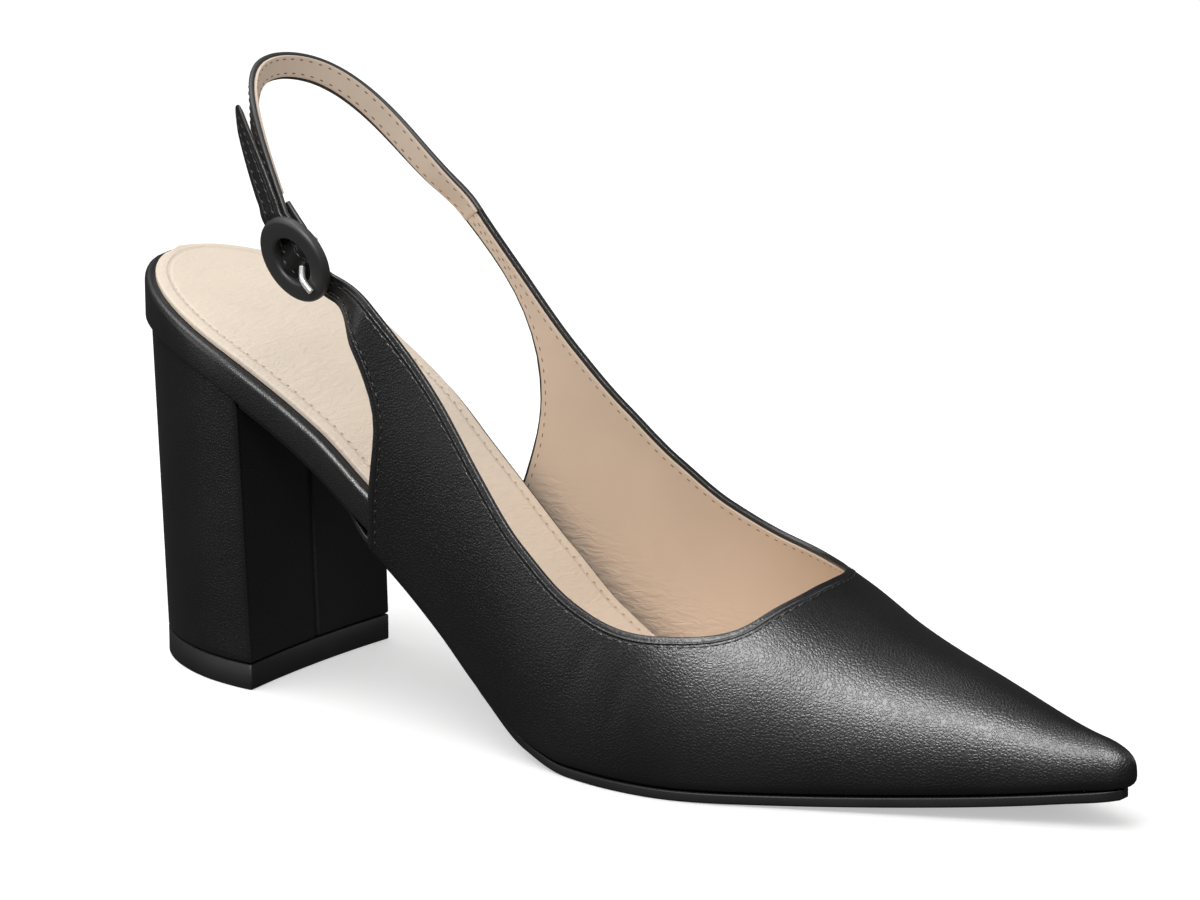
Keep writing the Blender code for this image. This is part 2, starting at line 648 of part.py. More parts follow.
def turned_edge(alongs, side):
    """The rounded feather and the edge turned under the footbed, inner edge first."""
    rows = []
    for inset, rise in ((MARGIN, 0.0), (FEATHER_RADIUS, 0.0),
                        (FEATHER_RADIUS * (1 - math.sin(math.pi / 4)), FEATHER_RADIUS * (1 - math.cos(math.pi / 4)))):
        x, y = plan(alongs, side, inset)
        rows.append(np.stack([x, y, level(x / LENGTH, GAP + WALL) + rise], axis=-1))
    return np.stack(rows, axis=1)


def tab_ribs():
    """Edges of the tab from its free tip through the ring to the quarter."""
    points, facing = tab_face()
    half = np.full(len(points), TAB_WIDTH / 2)
    half[:2] *= (0.35, 0.85)
    sides = unit(np.cross(facing, unit(np.gradient(points, axis=0)))) * half[:, None]
    return points - sides, points + sides


def sling_ribs():
    """Ribs of the sling strap: from the inner quarter, round the back, round the bar and back."""
    points, facing = sling_face()
    keep = np.linspace(0, len(points) - 1, STRAP_STEPS).astype(int)
    points, facing = points[keep], facing[keep]
    radius = BAR_RADIUS + GAP + FOLD_THICK
    turns = np.radians(np.arange(FOLD_LEAVES, 271, 23.5))
    round_bar = np.stack([radius * np.cos(turns), -BAR_DROP + radius * np.sin(turns)], axis=-1)
    ahead = np.array([(0.68 * RING_RADIUS, -sling_depth()), (0.42 * RING_RADIUS, -sling_depth())])
    under = -sling_depth() - 2 * FOLD_THICK - 2 * GAP
    shares = np.array([0.40, 0.66, 0.88, FOLD_BACK])
    back = np.stack([shares * RING_RADIUS, under - np.arange(4) * FOLD_SPREAD], axis=-1)
    folded = in_ring(np.concatenate([ahead, round_bar, back]))
    points = np.concatenate([points, folded])
    tangent = unit(np.gradient(points, axis=0))
    sides = unit(np.cross(facing, tangent[:len(facing)]))
    start, finish = joint()[2], ring_frame()[2]
    sides[0] = start * np.sign(sides[0].dot(start))
    sides[1] = unit(sides[0] + sides[1])
    finish = finish * np.sign(sides[-1].dot(finish))
    return points, np.concatenate([sides, np.repeat(finish[None, :], len(folded), axis=0)])


def strip_mesh(points, sides, width, columns=2):
    t = np.linspace(-0.5, 0.5, columns + 1)
    return points[:, None, :] + sides[:, None, :] * (t * width)[None, :, None]


def grid_faces(rows, columns, flip=False):
    faces = []
    for r in range(rows - 1):
        for c in range(columns - 1):
            a = r * columns + c
            quad = [a, a + 1, a + columns + 1, a + columns]
            faces.append(quad[::-1] if flip else quad)
    return faces


def strip_faces(rows, columns, flip):
    """Faces between rows of numbered points, the last row in triangles that both sides can share."""
    faces = []
    for r in range(len(rows) - 1):
        for c in range(columns):
            quad = [rows[r][c], rows[r + 1][c], rows[r + 1][c + 1], rows[r][c + 1]]
            parts = [quad] if r < len(rows) - 2 else [quad[:3], [quad[0], quad[2], quad[3]]]
            faces.extend(part[::-1] if flip else part for part in parts)
    return faces


def bridge(first, first_next, second, second_next, count):
    """Ribs between two ribs, leaving and arriving in the direction of their neighbours."""
    gap = np.linalg.norm(second.mean(0) - first.mean(0))
    leave = unit(first - first_next) * gap
    arrive = unit(second_next - second) * gap
    ribs = []
    for t in np.linspace(0, 1, count + 2)[1:-1]:
        ribs.append((2 * t ** 3 - 3 * t ** 2 + 1) * first + (t ** 3 - 2 * t ** 2 + t) * leave
                    + (3 * t ** 2 - 2 * t ** 3) * second + (t ** 3 - t ** 2) * arrive)
    return ribs


def make_upper(finish):
    vertices, faces, shares = [], [], []
    toe_share = TOE_WALL / WALL
    tab_share = TAB_THICK / WALL
    index = {}

    def put(point, share):
        key = tuple(np.round(point, 7))
        if key not in index:
            index[key] = len(vertices)
            vertices.append(tuple(point))
            shares.append(share)
        return index[key]

    for side in (-1, 1):
        grid, points = quarter_ribs(side)
        shares_here = 1 + (toe_share - 1) * np.clip((grid[:, 0, 0] - 0.93) / 0.06, 0, 1)
        rows = []
        if side < 0:
            low, high = tab_ribs()
            t = np.linspace(0, 1, COLUMNS + 1)[:, None]
            tab = [low[k] * (1 - t) + high[k] * t for k in range(len(low))]
            if np.linalg.norm(tab[-1][0] - points[0][0]) > np.linalg.norm(tab[-1][-1] - points[0][0]):
                tab = [rib[::-1] for rib in tab]
            between = bridge(tab[-1], tab[-2], points[0], points[1], 3)
            for rib in tab:
                rows.append([put(p, tab_share) for p in rib])
            for k, rib in enumerate(between):
                share = tab_share + (1 - tab_share) * (k + 1) / 4
                rows.append([put(p, share) for p in rib])
        for rib, share in zip(points, shares_here):
            rows.append([put(p, share) for p in rib])
        faces.extend(strip_faces(rows, COLUMNS, side > 0))
        feather = rows[-(SIDE_RIBS + VAMP_RIBS + 1):]
        alongs = grid[-(SIDE_RIBS + VAMP_RIBS + 1):, 0, 0]
        edge_shares = shares_here[-(SIDE_RIBS + VAMP_RIBS + 1):]
        under = turned_edge(alongs, side)
        under_rows = [[put(p, s) for p in strip] + [row[0]] for strip, row, s in zip(under, feather, edge_shares)]
        faces.extend(strip_faces(under_rows, 3, side > 0))
    piece = add("upper", vertices, faces, finish)
    give_wall(piece, WALL, shares)
    return piece


def make_sling_strap(finish):
    points, sides = sling_ribs()
    grid = strip_mesh(points, sides, STRAP_WIDTH)
    rows, columns = grid.shape[:2]
    thin = FOLD_THICK / STRAP_THICK
    share = 1 + (thin - 1) * np.clip((np.arange(rows) - (STRAP_STEPS - 5)) / 6.0, 0, 1)
    piece = add("sling_strap", grid.reshape(-1, 3), grid_faces(rows, columns, True), finish)
    give_wall(piece, STRAP_THICK, np.repeat(share, columns))
    return piece


def ring_matrix():
    middle, run, across, out = ring_frame()
    return Matrix(((run[0], across[0], out[0], middle[0]),
                   (run[1], across[1], out[1], middle[1]),
                   (run[2], across[2], out[2], middle[2]),
                   (0, 0, 0, 1)))


def make_ring(finish):
    """Turned ring with rounded edges."""
    half = RING_THICK / 2
    profile = []
    corners = ((RING_RADIUS - RING_EDGE, half - RING_EDGE, 90, 0), (RING_RADIUS - RING_EDGE, -half + RING_EDGE, 0, -90),
               (RING_HOLE + RING_EDGE, -half + RING_EDGE, -90, -180), (RING_HOLE + RING_EDGE, half - RING_EDGE, -180, -270))
    for x, z, start, stop in corners:
        for step in range(4):
            turn = math.radians(start + (stop - start) * step / 3)
            profile.append((x + RING_EDGE * math.cos(turn), 0.0, z + RING_EDGE * math.sin(turn)))
    mesh = bpy.data.meshes.new("buckle_ring")
    count = len(profile)
    mesh.from_pydata(profile, [(k, (k + 1) % count) for k in range(count)], [])
    piece = bpy.data.objects.new("buckle_ring", mesh)
    collection(COLLECTION).objects.link(piece)
    mesh.materials.append(finish)
    turn = piece.modifiers.new("turn", "SCREW")
    turn.axis = "Z"
    turn.angle = math.tau
    turn.steps = turn.render_steps = 32
    turn.use_merge_vertices = True
    turn.merge_threshold = 0.00001
    turn.use_smooth_shade = True
    piece.matrix_world = ring_matrix()
    return piece


def wire(name, points, radius, finish):
    """Round wire along points, made a closed mesh."""
    path = bpy.data.curves.new(name, "CURVE")
    path.dimensions = "3D"
    path.bevel_depth = radius
    path.bevel_resolution = 2
    path.use_fill_caps = True
    spline = path.splines.new("POLY")
    spline.points.add(len(points) - 1)
    for knot, point in zip(spline.points, points):
        knot.co = (*point, 1.0)
    guide = bpy.data.objects.new(name + "_guide", path)
    collection(COLLECTION).objects.link(guide)
    bpy.context.view_layer.update()
    mesh = bpy.data.meshes.new_from_object(guide.evaluated_get(bpy.context.evaluated_depsgraph_get()))
    bpy.data.objects.remove(guide, do_unlink=True)
    work = bmesh.new()
    work.from_mesh(mesh)
    bmesh.ops.remove_doubles(work, verts=work.verts, dist=0.00002)
    bmesh.ops.recalc_face_normals(work, faces=work.faces)
    work.to_mesh(mesh)
    work.free()
    mesh.name = name
    mesh.shade_smooth()
    mesh.materials.clear()
    mesh.materials.append(finish)
    piece = bpy.data.objects.new(name, mesh)
    collection(COLLECTION).objects.link(piece)
    return piece


def bar_points():
    half = BAR_SPAN / 2
    top = -RING_THICK / 2 + LEG_SEAT
    bend = 2.2 * BAR_RADIUS
    points = [(0, -half, top)]
    for degrees in range(0, 91, 30):
        turn = math.radians(degrees)
        points.append((0, -half + bend - bend * math.cos(turn), -BAR_DROP + bend - bend * math.sin(turn)))
    return points + [(x, -y, z) for x, y, z in reversed(points)]


def make_bar(finish):
    piece = wire("buckle_bar", bar_points(), BAR_RADIUS, finish)
    piece.matrix_world = ring_matrix()
    return piece


def leg_cutters():
    made = []
    for side in (-1, 1):
        bpy.ops.mesh.primitive_cylinder_add(vertices=16, radius=BAR_RADIUS + GAP, depth=2 * (LEG_SEAT + GAP))
        cutter = bpy.context.object
        cutter.name = f"leg_cutter_{'outer' if side < 0 else 'inner'}"
        for group in list(cutter.users_collection):
            group.objects.unlink(cutter)
        collection("cutters").objects.link(cutter)
        place = Matrix.Translation((0, side * BAR_SPAN / 2, -RING_THICK / 2))
        cutter.matrix_world = ring_matrix() @ place
        made.append(cutter)
    return made


def prong_points():
    radius = BAR_RADIUS + GAP + PRONG_RADIUS
    points = []
    for degrees in range(-190, 91, 20):
        turn = math.radians(degrees)
        points.append((radius * math.cos(turn), 0, -BAR_DROP + radius * math.sin(turn)))
    rest = RING_THICK / 2 + GAP + PRONG_RADIUS
    reach = PRONG_REACH
    low = -BAR_DROP + radius
    for run, rise in ((0.14, 0.08), (0.30, 0.36), (0.48, 0.74), (0.64, 0.96), (0.80, 1.0), (1.0, 1.0)):
        points.append((-run * reach, 0, low + (rest - low) * rise))
    return points


def make_prong(finish):
    piece = wire("buckle_prong", prong_points(), PRONG_RADIUS, finish)
    piece.matrix_world = ring_matrix()
    return piece


def box_cutter(name, low, high, matrix):
    bpy.ops.mesh.primitive_cube_add(size=1.0)
    cutter = bpy.context.object
    cutter.name = name
    for group in list(cutter.users_collection):
        group.objects.unlink(cutter)
    collection("cutters").objects.link(cutter)
    size = [high[k] - low[k] for k in range(3)]
    middle = [(high[k] + low[k]) / 2 for k in range(3)]
    cutter.data.transform(Matrix.Diagonal((*size, 1.0)))
    cutter.matrix_world = matrix @ Matrix.Translation(middle)
    return cutter


def cut_slots(upper, sling):
    """Slot of the sling strap's fold and the tab's hole, both for the prong."""
    half = PRONG_RADIUS + SLOT_ROOM
    reach = BAR_RADIUS + GAP + FOLD_THICK
    slot = box_cutter("fold_slot", (-reach - 0.001, -half, -BAR_DROP - reach - 0.001),
                      (reach + 2 * GAP, half, -BAR_DROP + reach + 0.001), ring_matrix())
    cut(sling, slot)
    hole = box_cutter("tab_hole", (-0.0036, -half, -0.0030), (-0.0001, half, 0.0012), ring_matrix())
    cut(upper, hole)


def set_origin():
    """Stands everything on the floor with the middle of its footprint at the origin."""
    bpy.context.view_layer.update()
    view = bpy.context.evaluated_depsgraph_get()
    corners = []
    for piece in bpy.data.collections[COLLECTION].objects:
        seen = piece.evaluated_get(view)
        corners.extend(seen.matrix_world @ Vector(corner) for corner in seen.bound_box)
    corners = np.array([tuple(corner) for corner in corners])
    low, high = corners.min(axis=0), corners.max(axis=0)
    empty = bpy.data.objects.new("origin", None)
    collection(COLLECTION).objects.link(empty)
    empty.location = (-(low[0] + high[0]) / 2, -(low[1] + high[1]) / 2, -low[2])
    for piece in list(bpy.data.objects):
        if piece is not empty:
            piece.parent = empty


def main():
    clear_scene()
    black = material("black_leather", (0.012, 0.012, 0.013), 0.42)
    wrapped = material("footbed_leather", (0.014, 0.014, 0.015), 0.5)
    covered = material("heel_leather", (0.012, 0.012, 0.013), 0.48)
    beige = material("sock_leather", (0.78, 0.66, 0.53), 0.6)
    rubber = material("black_rubber", (0.01, 0.01, 0.01), 0.7)
    steel = material("bright_steel", (0.75, 0.74, 0.72), 0.2, 1.0)
    upper = make_upper(black)
    make_footbed(wrapped)
    make_sock(beige)
    make_outsole(rubber)
    make_heel(covered)
    make_top_piece(rubber)
    sling = make_sling_strap(black)
    ring = make_ring(black)
    for cutter in leg_cutters():
        cut(ring, cutter)
    make_bar(steel)
    make_prong(steel)
    cut_slots(upper, sling)
    set_origin()


main()
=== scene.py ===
"""Looks of the slingback pump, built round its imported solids.

Metres. +X runs from the heel to the toe, +Y is the inner side of the foot, +Z is up.
"""
import math

import bmesh
import bpy
import numpy as np
from bpy.props import FloatProperty, FloatVectorProperty, PointerProperty
from mathutils import Matrix, Vector
from mathutils.kdtree import KDTree


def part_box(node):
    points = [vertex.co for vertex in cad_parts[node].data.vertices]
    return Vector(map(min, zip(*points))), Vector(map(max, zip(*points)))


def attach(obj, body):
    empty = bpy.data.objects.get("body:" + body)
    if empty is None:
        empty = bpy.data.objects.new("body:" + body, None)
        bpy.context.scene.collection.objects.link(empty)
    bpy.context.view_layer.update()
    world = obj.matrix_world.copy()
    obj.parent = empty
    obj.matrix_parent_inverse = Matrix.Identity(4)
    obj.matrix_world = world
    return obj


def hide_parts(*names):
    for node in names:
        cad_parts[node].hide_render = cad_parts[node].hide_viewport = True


bl_info = {
    "name": "Slingback pump looks",
    "version": (1, 0, 0),
    "blender": (4, 5, 0),
    "location": "3D View > Sidebar > Pump",
    "description": "Leather, lining, stitching, sole and buckle of a slingback pump, round its solids",
    "category": "Object",
}

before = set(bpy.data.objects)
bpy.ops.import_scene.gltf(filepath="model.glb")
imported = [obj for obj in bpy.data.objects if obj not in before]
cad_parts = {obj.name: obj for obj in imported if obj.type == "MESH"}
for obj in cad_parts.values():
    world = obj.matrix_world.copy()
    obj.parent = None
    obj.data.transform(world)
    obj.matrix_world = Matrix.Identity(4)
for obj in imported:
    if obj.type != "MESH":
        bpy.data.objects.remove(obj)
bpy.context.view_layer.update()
BODY = "root"

# the shoe's driving sizes, as in the part
LENGTH = 0.245
BALL_WIDTH = 0.068
SEAT_WIDTH = 0.058
HEEL_HEIGHT = 0.0745
TOE_SPRING = 0.0062
INSTEP = 0.037
STRAP_HEIGHT = 0.0545
TIP_OFFSET = 0.0048
SEAT_OFFSET = 0.0035
SEAT_BACK = -0.0004

# thicknesses
WALL = 0.0016
TOE_WALL = 0.0009
SOLE = 0.0021
SHANK_SOLE = 0.0014
BOARD = 0.0064
SOCK = 0.0010
TOP_PIECE = 0.0055
GAP = 0.0003
STACK = SOLE + GAP + WALL + GAP

# edges
FEATHER_RADIUS = 0.0020
MARGIN = 0.0080
SOLE_INSET = 0.0008
SHANK_INSET = 0.0040
SOCK_INSET = 0.0024
TOE_RADIUS = 0.0036
TIP_SPAN = 2.2
TIP_LEFT = 0.35
OUTER_SEAT_ROUND = 0.045
INNER_SEAT_ROUND = 0.024
FRONT_ROUND = 0.0060
FOOTBED_FRONT = 0.953
SOCK_FRONT = 0.947
SOCK_PILLOW = 0.0005
SOCK_ROUND = 0.0006
SOCK_LOW_ROUND = 0.0001
BOARD_ROUND = 0.0014
BOARD_LOW_ROUND = 0.0006
SOLE_ROUND = 0.0003
SOLE_LOW_ROUND = 0.0005
SOLE_FRONT = 0.994
SOLE_BACK = 0.1774
SOLE_DROP = (0.288, 0.306)
HUB_SEAT = 0.0300
HUB_TOE = 0.0180

# heel
HEEL_LENGTH = 0.0425
HEEL_FOOT_LENGTH = 0.0395
HEEL_FOOT_WIDTH = 0.0490
HEEL_RAKE = 0.0025
HEEL_INSET = 0.0012
BREAST_HOLLOW = 0.0012
BREAST_SEAM = 0.0016
BREAST_SEAM_DEPTH = 0.0005
HEEL_CORNER = 0.0009
HEEL_FOOT_ROUND = 0.0005
HEEL_FOOT_SHARE = 0.008
HEEL_TALL = 1.02
HEEL_CROWD = 1.7
BREAST_STEPS = 18
BREAST_LIP = 0.00015
HEEL_RINGS = 40
# rounding of the top piece: inset and height of each loop
TREAD_LAYERS = (
    (0.0003, 0.0), (0.0001, 0.0001), (0.0, 0.0003), (0.0, TOP_PIECE - 0.0002), (0.0002, TOP_PIECE))

# strap and buckle
STRAP_WIDTH = 0.0052
STRAP_THICK = 0.0018
TAB_WIDTH = 0.0065
TAB_THICK = 0.0012
FOLD_THICK = 0.0009
TAIL_LENGTH = 0.0228
TAIL_LIFT = 0.0012
RING_RADIUS = 0.0095
RING_HOLE = 0.00515
RING_THICK = 0.0024
RING_OUTER_ROUND = 0.0009
RING_INNER_ROUND = 0.0007
BAR_RADIUS = 0.00065
BAR_DROP = 0.0026
BAR_SPAN = 0.0144
LEG_SEAT = 0.0008
PRONG_RADIUS = 0.00045
PRONG_REACH = 0.0076
TAB_SPREAD = 0.42
TAB_SPREAD_RADIUS = 0.0056
# rounding of the tab's tip: length from the tip and share of the width
TAB_TIP = np.array([(0, 0.20), (0.0005, 0.46), (0.0021, 0.85), (0.0042, 1.0), (1.0, 1.0)])
PRONG_LOOK = 1.45
# how the prong rises from the fold to the ring: share of its reach and share of the rise
PRONG_RISE = np.array([
    (0.0, 0.0), (0.14, 0.08), (0.30, 0.36), (0.48, 0.74), (0.64, 0.96), (0.80, 1.0), (1.0, 1.0)])
# the strap's fold: from where to where it follows the bar, in degrees, and the places before it in ring radii
FOLD_LEAVES = 35
FOLD_ENDS = 271
FOLD_STEP = 7.8
FOLD_LEADS = (0.68, 0.42)
FOLD_BACK = 1.10
FOLD_SPREAD = 0.00025

# the last, heel to toe, as shares of the driving sizes
LAST_COLUMNS = "along rise spring ball outer inner crown ridge belly square"
LAST = np.array([
    (0.00, 1.000, 0.00, 0.00, 0.500, 0.500, 3.20, -0.020, 0.030, 2.2),
    (0.05, 0.984, 0.00, 0.00, 0.500, 0.500, 3.15, -0.020, 0.030, 2.2),
    (0.10, 0.950, 0.00, 0.00, 0.500, 0.498, 3.10, -0.020, 0.030, 2.2),
    (0.15, 0.887, 0.00, 0.00, 0.495, 0.490, 3.05, -0.020, 0.030, 2.2),
    (0.20, 0.797, 0.00, 0.00, 0.483, 0.472, 3.00, -0.020, 0.030, 2.2),
    (0.25, 0.688, 0.00, 0.05, 0.466, 0.444, 2.96, -0.020, 0.034, 2.2),
    (0.30, 0.549, 0.00, 0.15, 0.448, 0.412, 2.90, -0.020, 0.040, 2.2),
    (0.35, 0.412, 0.00, 0.28, 0.430, 0.375, 2.82, -0.020, 0.045, 2.2),
    (0.40, 0.271, 0.00, 0.43, 0.434, 0.354, 2.70, -0.025, 0.045, 2.2),
    (0.45, 0.131, 0.00, 0.60, 0.458, 0.364, 2.50, -0.030, 0.040, 2.2),
    (0.50, 0.035, 0.00, 0.80, 0.488, 0.390, 2.20, -0.036, 0.034, 2.2),
    (0.55, 0.000, 0.00, 0.92, 0.515, 0.425, 1.84, -0.040, 0.026, 2.2),
    (0.60, 0.000, 0.00, 1.00, 0.528, 0.462, 1.50, -0.040, 0.018, 2.2),
    (0.64, 0.000, 0.00, 1.00, 0.518, 0.482, 1.28, -0.036, 0.012, 2.2),
    (0.68, 0.000, 0.02, 1.00, 0.478, 0.482, 1.10, -0.028, 0.008, 2.1),
    (0.72, 0.000, 0.06, 1.00, 0.415, 0.458, 0.96, -0.015, 0.004, 2.1),
    (0.76, 0.000, 0.12, 1.00, 0.350, 0.418, 0.82, 0.000, 0.002, 2.0),
    (0.80, 0.000, 0.20, 1.00, 0.284, 0.370, 0.69, 0.016, 0.000, 2.0),
    (0.84, 0.000, 0.30, 1.00, 0.218, 0.320, 0.58, 0.030, 0.000, 2.0),
    (0.88, 0.000, 0.42, 1.00, 0.152, 0.268, 0.47, 0.042, 0.000, 2.0),
    (0.92, 0.000, 0.58, 1.00, 0.088, 0.216, 0.35, 0.052, 0.000, 2.0),
    (0.96, 0.000, 0.78, 1.00, 0.026, 0.162, 0.24, 0.062, 0.000, 2.0),
    (1.00, 0.000, 1.00, 1.00, -0.034, 0.104, 0.17, 0.070, 0.000, 2.0)])
# thickness of the footbed: place along the foot and share of BOARD
BOARD_CHANGE = np.array([
    (-0.01, 1.78), (0.04, 1.42), (0.08, 1.18), (0.13, 1.03), (0.20, 1.00), (0.34, 1.00), (0.58, 0.375),
    (1.0, 0.375)])
# change of the sole from the shank to the forefoot: place along the foot and share
SHANK_CHANGE = np.array([(0.0, 0.0), (0.34, 0.0), (0.58, 1.0), (1.0, 1.0)])

# topline and rear edges: place along the foot and turn from feather (0) to ridge (1)
OUTER_TOPLINE = np.array([
    (0.313, 0.302), (0.331, 0.301), (0.358, 0.302), (0.385, 0.303), (0.416, 0.300), (0.471, 0.290),
    (0.514, 0.294), (0.563, 0.302), (0.611, 0.335), (0.643, 0.390), (0.686, 0.518), (0.704, 0.660),
    (0.715, 0.820), (0.718, 1.000)])
INNER_TOPLINE = np.array([
    (0.288, 0.307), (0.306, 0.303), (0.331, 0.300), (0.388, 0.299), (0.451, 0.326), (0.514, 0.360),
    (0.578, 0.400), (0.630, 0.470), (0.670, 0.580), (0.700, 0.730), (0.714, 0.870), (0.718, 1.000)])
OUTER_REAR = np.array([
    (0.293, 0.227), (0.308, 0.220), (0.321, 0.203), (0.332, 0.177), (0.334, 0.131), (0.327, 0.062),
    (0.322, 0.000)])
INNER_REAR = np.array([
    (0.271, 0.262), (0.297, 0.262), (0.325, 0.252), (0.343, 0.226), (0.352, 0.184), (0.353, 0.147),
    (0.345, 0.070), (0.330, 0.000)])
CORNER_SHARE = 0.26

# sling strap: shares of LENGTH, of SEAT_WIDTH and of STRAP_HEIGHT above the footbed's back
LOOP = np.array([
    (0.2450, 0.418, 0.549), (0.2080, 0.380, 0.705), (0.1730, 0.285, 0.878), (0.1525, 0.181, 0.963),
    (0.1410, 0.060, 1.000), (0.1415, -0.078, 1.000), (0.1560, -0.212, 0.955), (0.1790, -0.322, 0.855),
    (0.2040, -0.397, 0.716)])
LOOP_MIDDLE = 0.255
RING_AT = (0.2510, -0.4655, 0.401)
RING_ALONG = (-0.68, -0.115, 0.73)
RING_OUT = (-0.15, -0.945, -0.29)
# outer face of the tab: along in ring radii, share under the rim, share over the fold, across in ring radii
TAB_PATH = np.array([
    (1.00, 1.0, 0.0, 0.0), (0.78, 1.0, 0.0, 0.0), (0.58, 1.0, 0.0, 0.0), (0.42, 0.97, 0.0, 0.0),
    (0.27, 0.35, 0.1, 0.0), (0.13, 0.0, 0.70, 0.0), (0.00, 0.0, 1.0, 0.0), (-0.13, 0.0, 0.70, 0.0),
    (-0.27, 0.35, 0.1, 0.0), (-0.42, 0.97, 0.0, -0.01), (-0.58, 1.0, 0.0, -0.03), (-0.78, 1.0, 0.0, -0.07),
    (-0.96, 1.08, 0.0, -0.13), (-1.06, 1.2, 0.0, -0.17)])

# how finely the leather is laid out
REAR_RIBS = 14
SIDE_RIBS = 84
VAMP_RIBS = 54
COLUMNS = 34
TAB_ROWS = 120
BRIDGE_ROWS = 12
TAPER_RIBS = 2
RIB_BOW = 0.6
BOW_START = 0.5
BOW_LENGTH = 0.4
BOARD_STATIONS = 150
STRAP_ROWS = 160
STRAP_COLUMNS = 12
STRAP_THINS = 8
EDGE_POINTS = 700
TAB_POINTS = 500
RIM_POINTS = 900
SHARP_ANGLE = 55

# leather and lining
TAB_LEATHER = 0.00072
STRAP_LEATHER = 0.0011
TAB_LINING = 0.00042
LINING_GAP = 0.00002
LINING_FRONT = 0.93
RIM_STEPS = 5
LEATHER_BULGE = 0.00028
LINING_BULGE = 0.00012
SAME_PLACE = 0.00002
# where painted shade darkens the lining and the sock towards the toe, along the foot
SHADE_START = 0.35
SHADE_LENGTH = 0.55
# where the wall thins towards the toe, along the foot
THIN_START = 0.93
THIN_LENGTH = 0.06
# where the lining lies slack: below a height, and between two places along the foot, each with its fade
SLACK_HEIGHT = 0.022
SLACK_FROM = (0.33, 0.05)
SLACK_TO = (0.66, 0.08)
SPARE_HOLE = (0.0747, -0.0261, 0.0862)
# creases: places along the foot and turns, ends of each stroke, and its depth
CREASES = (
    ((0.560, 0.10), (0.578, 0.27), 0.5),
    ((0.600, 0.08), (0.622, 0.30), 0.6),
    ((0.640, 0.10), (0.655, 0.33), 0.4))
CREASE_HALF = 0.0022

# threads, as shares of the width or the length on the leather
THREAD_SUNK = 0.12
BOBBIN_SUNK = 0.3
BOBBIN_LENGTH = 0.8
BOBBIN_WIDTH = 0.85
STRAP_SEAM_START = 3
STRAP_SEAM_STOP = -14
SOCK_SEAM_SHORT = 0.02

# stage
CAMERA_AZIMUTH = 36.16
CAMERA_ELEVATION = 14.79
CAMERA_ROLL = -0.27
CAMERA_DISTANCE = 1.210
CAMERA_TARGET = (0.11905, 0.0, 0.05875)
CAMERA_LENS = 177.1
SENSOR_WIDTH = 36.0
CAMERA_CLIP = (0.05, 20.0)
LIT_POINT = (0.0, 0.0, 0.05)
FLOOR_HALF = 4.0
WHITE_BEHIND = 1.05
# place and size of each light, by the name of its power
OVERHEAD = ("overhead", (-0.3, -0.35, 1.3), (1.6, 1.6))
SOFTBOXES = (
    ("vamp", (0.30, -0.74, 0.82), (0.42, 0.30)),
    ("ridge", (-0.45, 0.02, 1.05), (0.75, 0.55)),
    ("side", (-0.95, -0.85, 0.45), (0.35, 1.0)),
    ("far", (0.9, 0.9, 0.9), (0.8, 0.8)))


# curves

def smooth(xs, ys, x):
    """Natural cubic through the rows of a table."""
    xs, ys = np.asarray(xs, float), np.asarray(ys, float)
    count = len(xs)
    step = np.diff(xs)
    matrix = np.eye(count)
    right = np.zeros(count)
    for i in range(1, count - 1):
        matrix[i, i - 1:i + 2] = step[i - 1], 2 * (step[i - 1] + step[i]), step[i]
        right[i] = 6 * ((ys[i + 1] - ys[i]) / step[i] - (ys[i] - ys[i - 1]) / step[i - 1])
    bend = np.linalg.solve(matrix, right)
    x = np.asarray(x, float)
    k = np.clip(np.searchsorted(xs, x) - 1, 0, count - 2)
    after, before, h = xs[k + 1] - x, x - xs[k], step[k]
    return ((bend[k] * after ** 3 + bend[k + 1] * before ** 3) / (6 * h)
            + (ys[k] / h - bend[k] * h / 6) * after + (ys[k + 1] / h - bend[k + 1] * h / 6) * before)


def flowing(xs, ys, x):
    """Cubic that never overshoots its rows, so that a flat stretch stays flat."""
    xs, ys = np.asarray(xs, float), np.asarray(ys, float)
    step = np.diff(xs)
    slope = np.diff(ys) / step
    tangent = np.zeros(len(xs))
    for i in range(1, len(xs) - 1):
        if slope[i - 1] * slope[i] > 0:
            one, two = 2 * step[i] + step[i - 1], step[i] + 2 * step[i - 1]
            tangent[i] = (one + two) / (one / slope[i - 1] + two / slope[i])
    tangent[-1] = slope[-1]
    x = np.asarray(x, float)
    k = np.clip(np.searchsorted(xs, x) - 1, 0, len(xs) - 2)
    h = step[k]
    t = np.clip((x - xs[k]) / h, 0, 1)
    return cubic(t, ys[k], h * tangent[k], ys[k + 1], h * tangent[k + 1])


def cubic(t, first, leave, second, arrive):
    """Goes from first to second, in the directions leave and arrive."""
    return ((2 * t ** 3 - 3 * t ** 2 + 1) * first + (t ** 3 - 2 * t ** 2 + t) * leave
            + (3 * t ** 2 - 2 * t ** 3) * second + (t ** 3 - t ** 2) * arrive)


def unit(vector):
    vector = np.asarray(vector, float)
    return vector / np.maximum(np.linalg.norm(vector, axis=-1, keepdims=True), 1e-12)


def running(points):
    """Length along a row of points, from 0."""
    return np.concatenate([[0], np.cumsum(np.linalg.norm(np.diff(points, axis=0), axis=1))])


def read_off(at, run, values):
    """Rows of a path at some lengths along it."""
    return np.stack([np.interp(at, run, column) for column in values.T], axis=-1)


def finely(points, count):
    """A path in even steps."""
    run = running(points)
    return read_off(np.linspace(0, run[-1], count), run, points)


def smooth_rows(run, rows, at):
    """Rows of a smooth curve at some lengths along it."""
    return np.stack([smooth(run, column, at) for column in rows.T], axis=-1)


def straight(first, second, count):
    """Points in even steps from one to another."""
    t = np.linspace(0, 1, count)[:, None]
    return np.asarray(first) * (1 - t) + np.asarray(second) * t


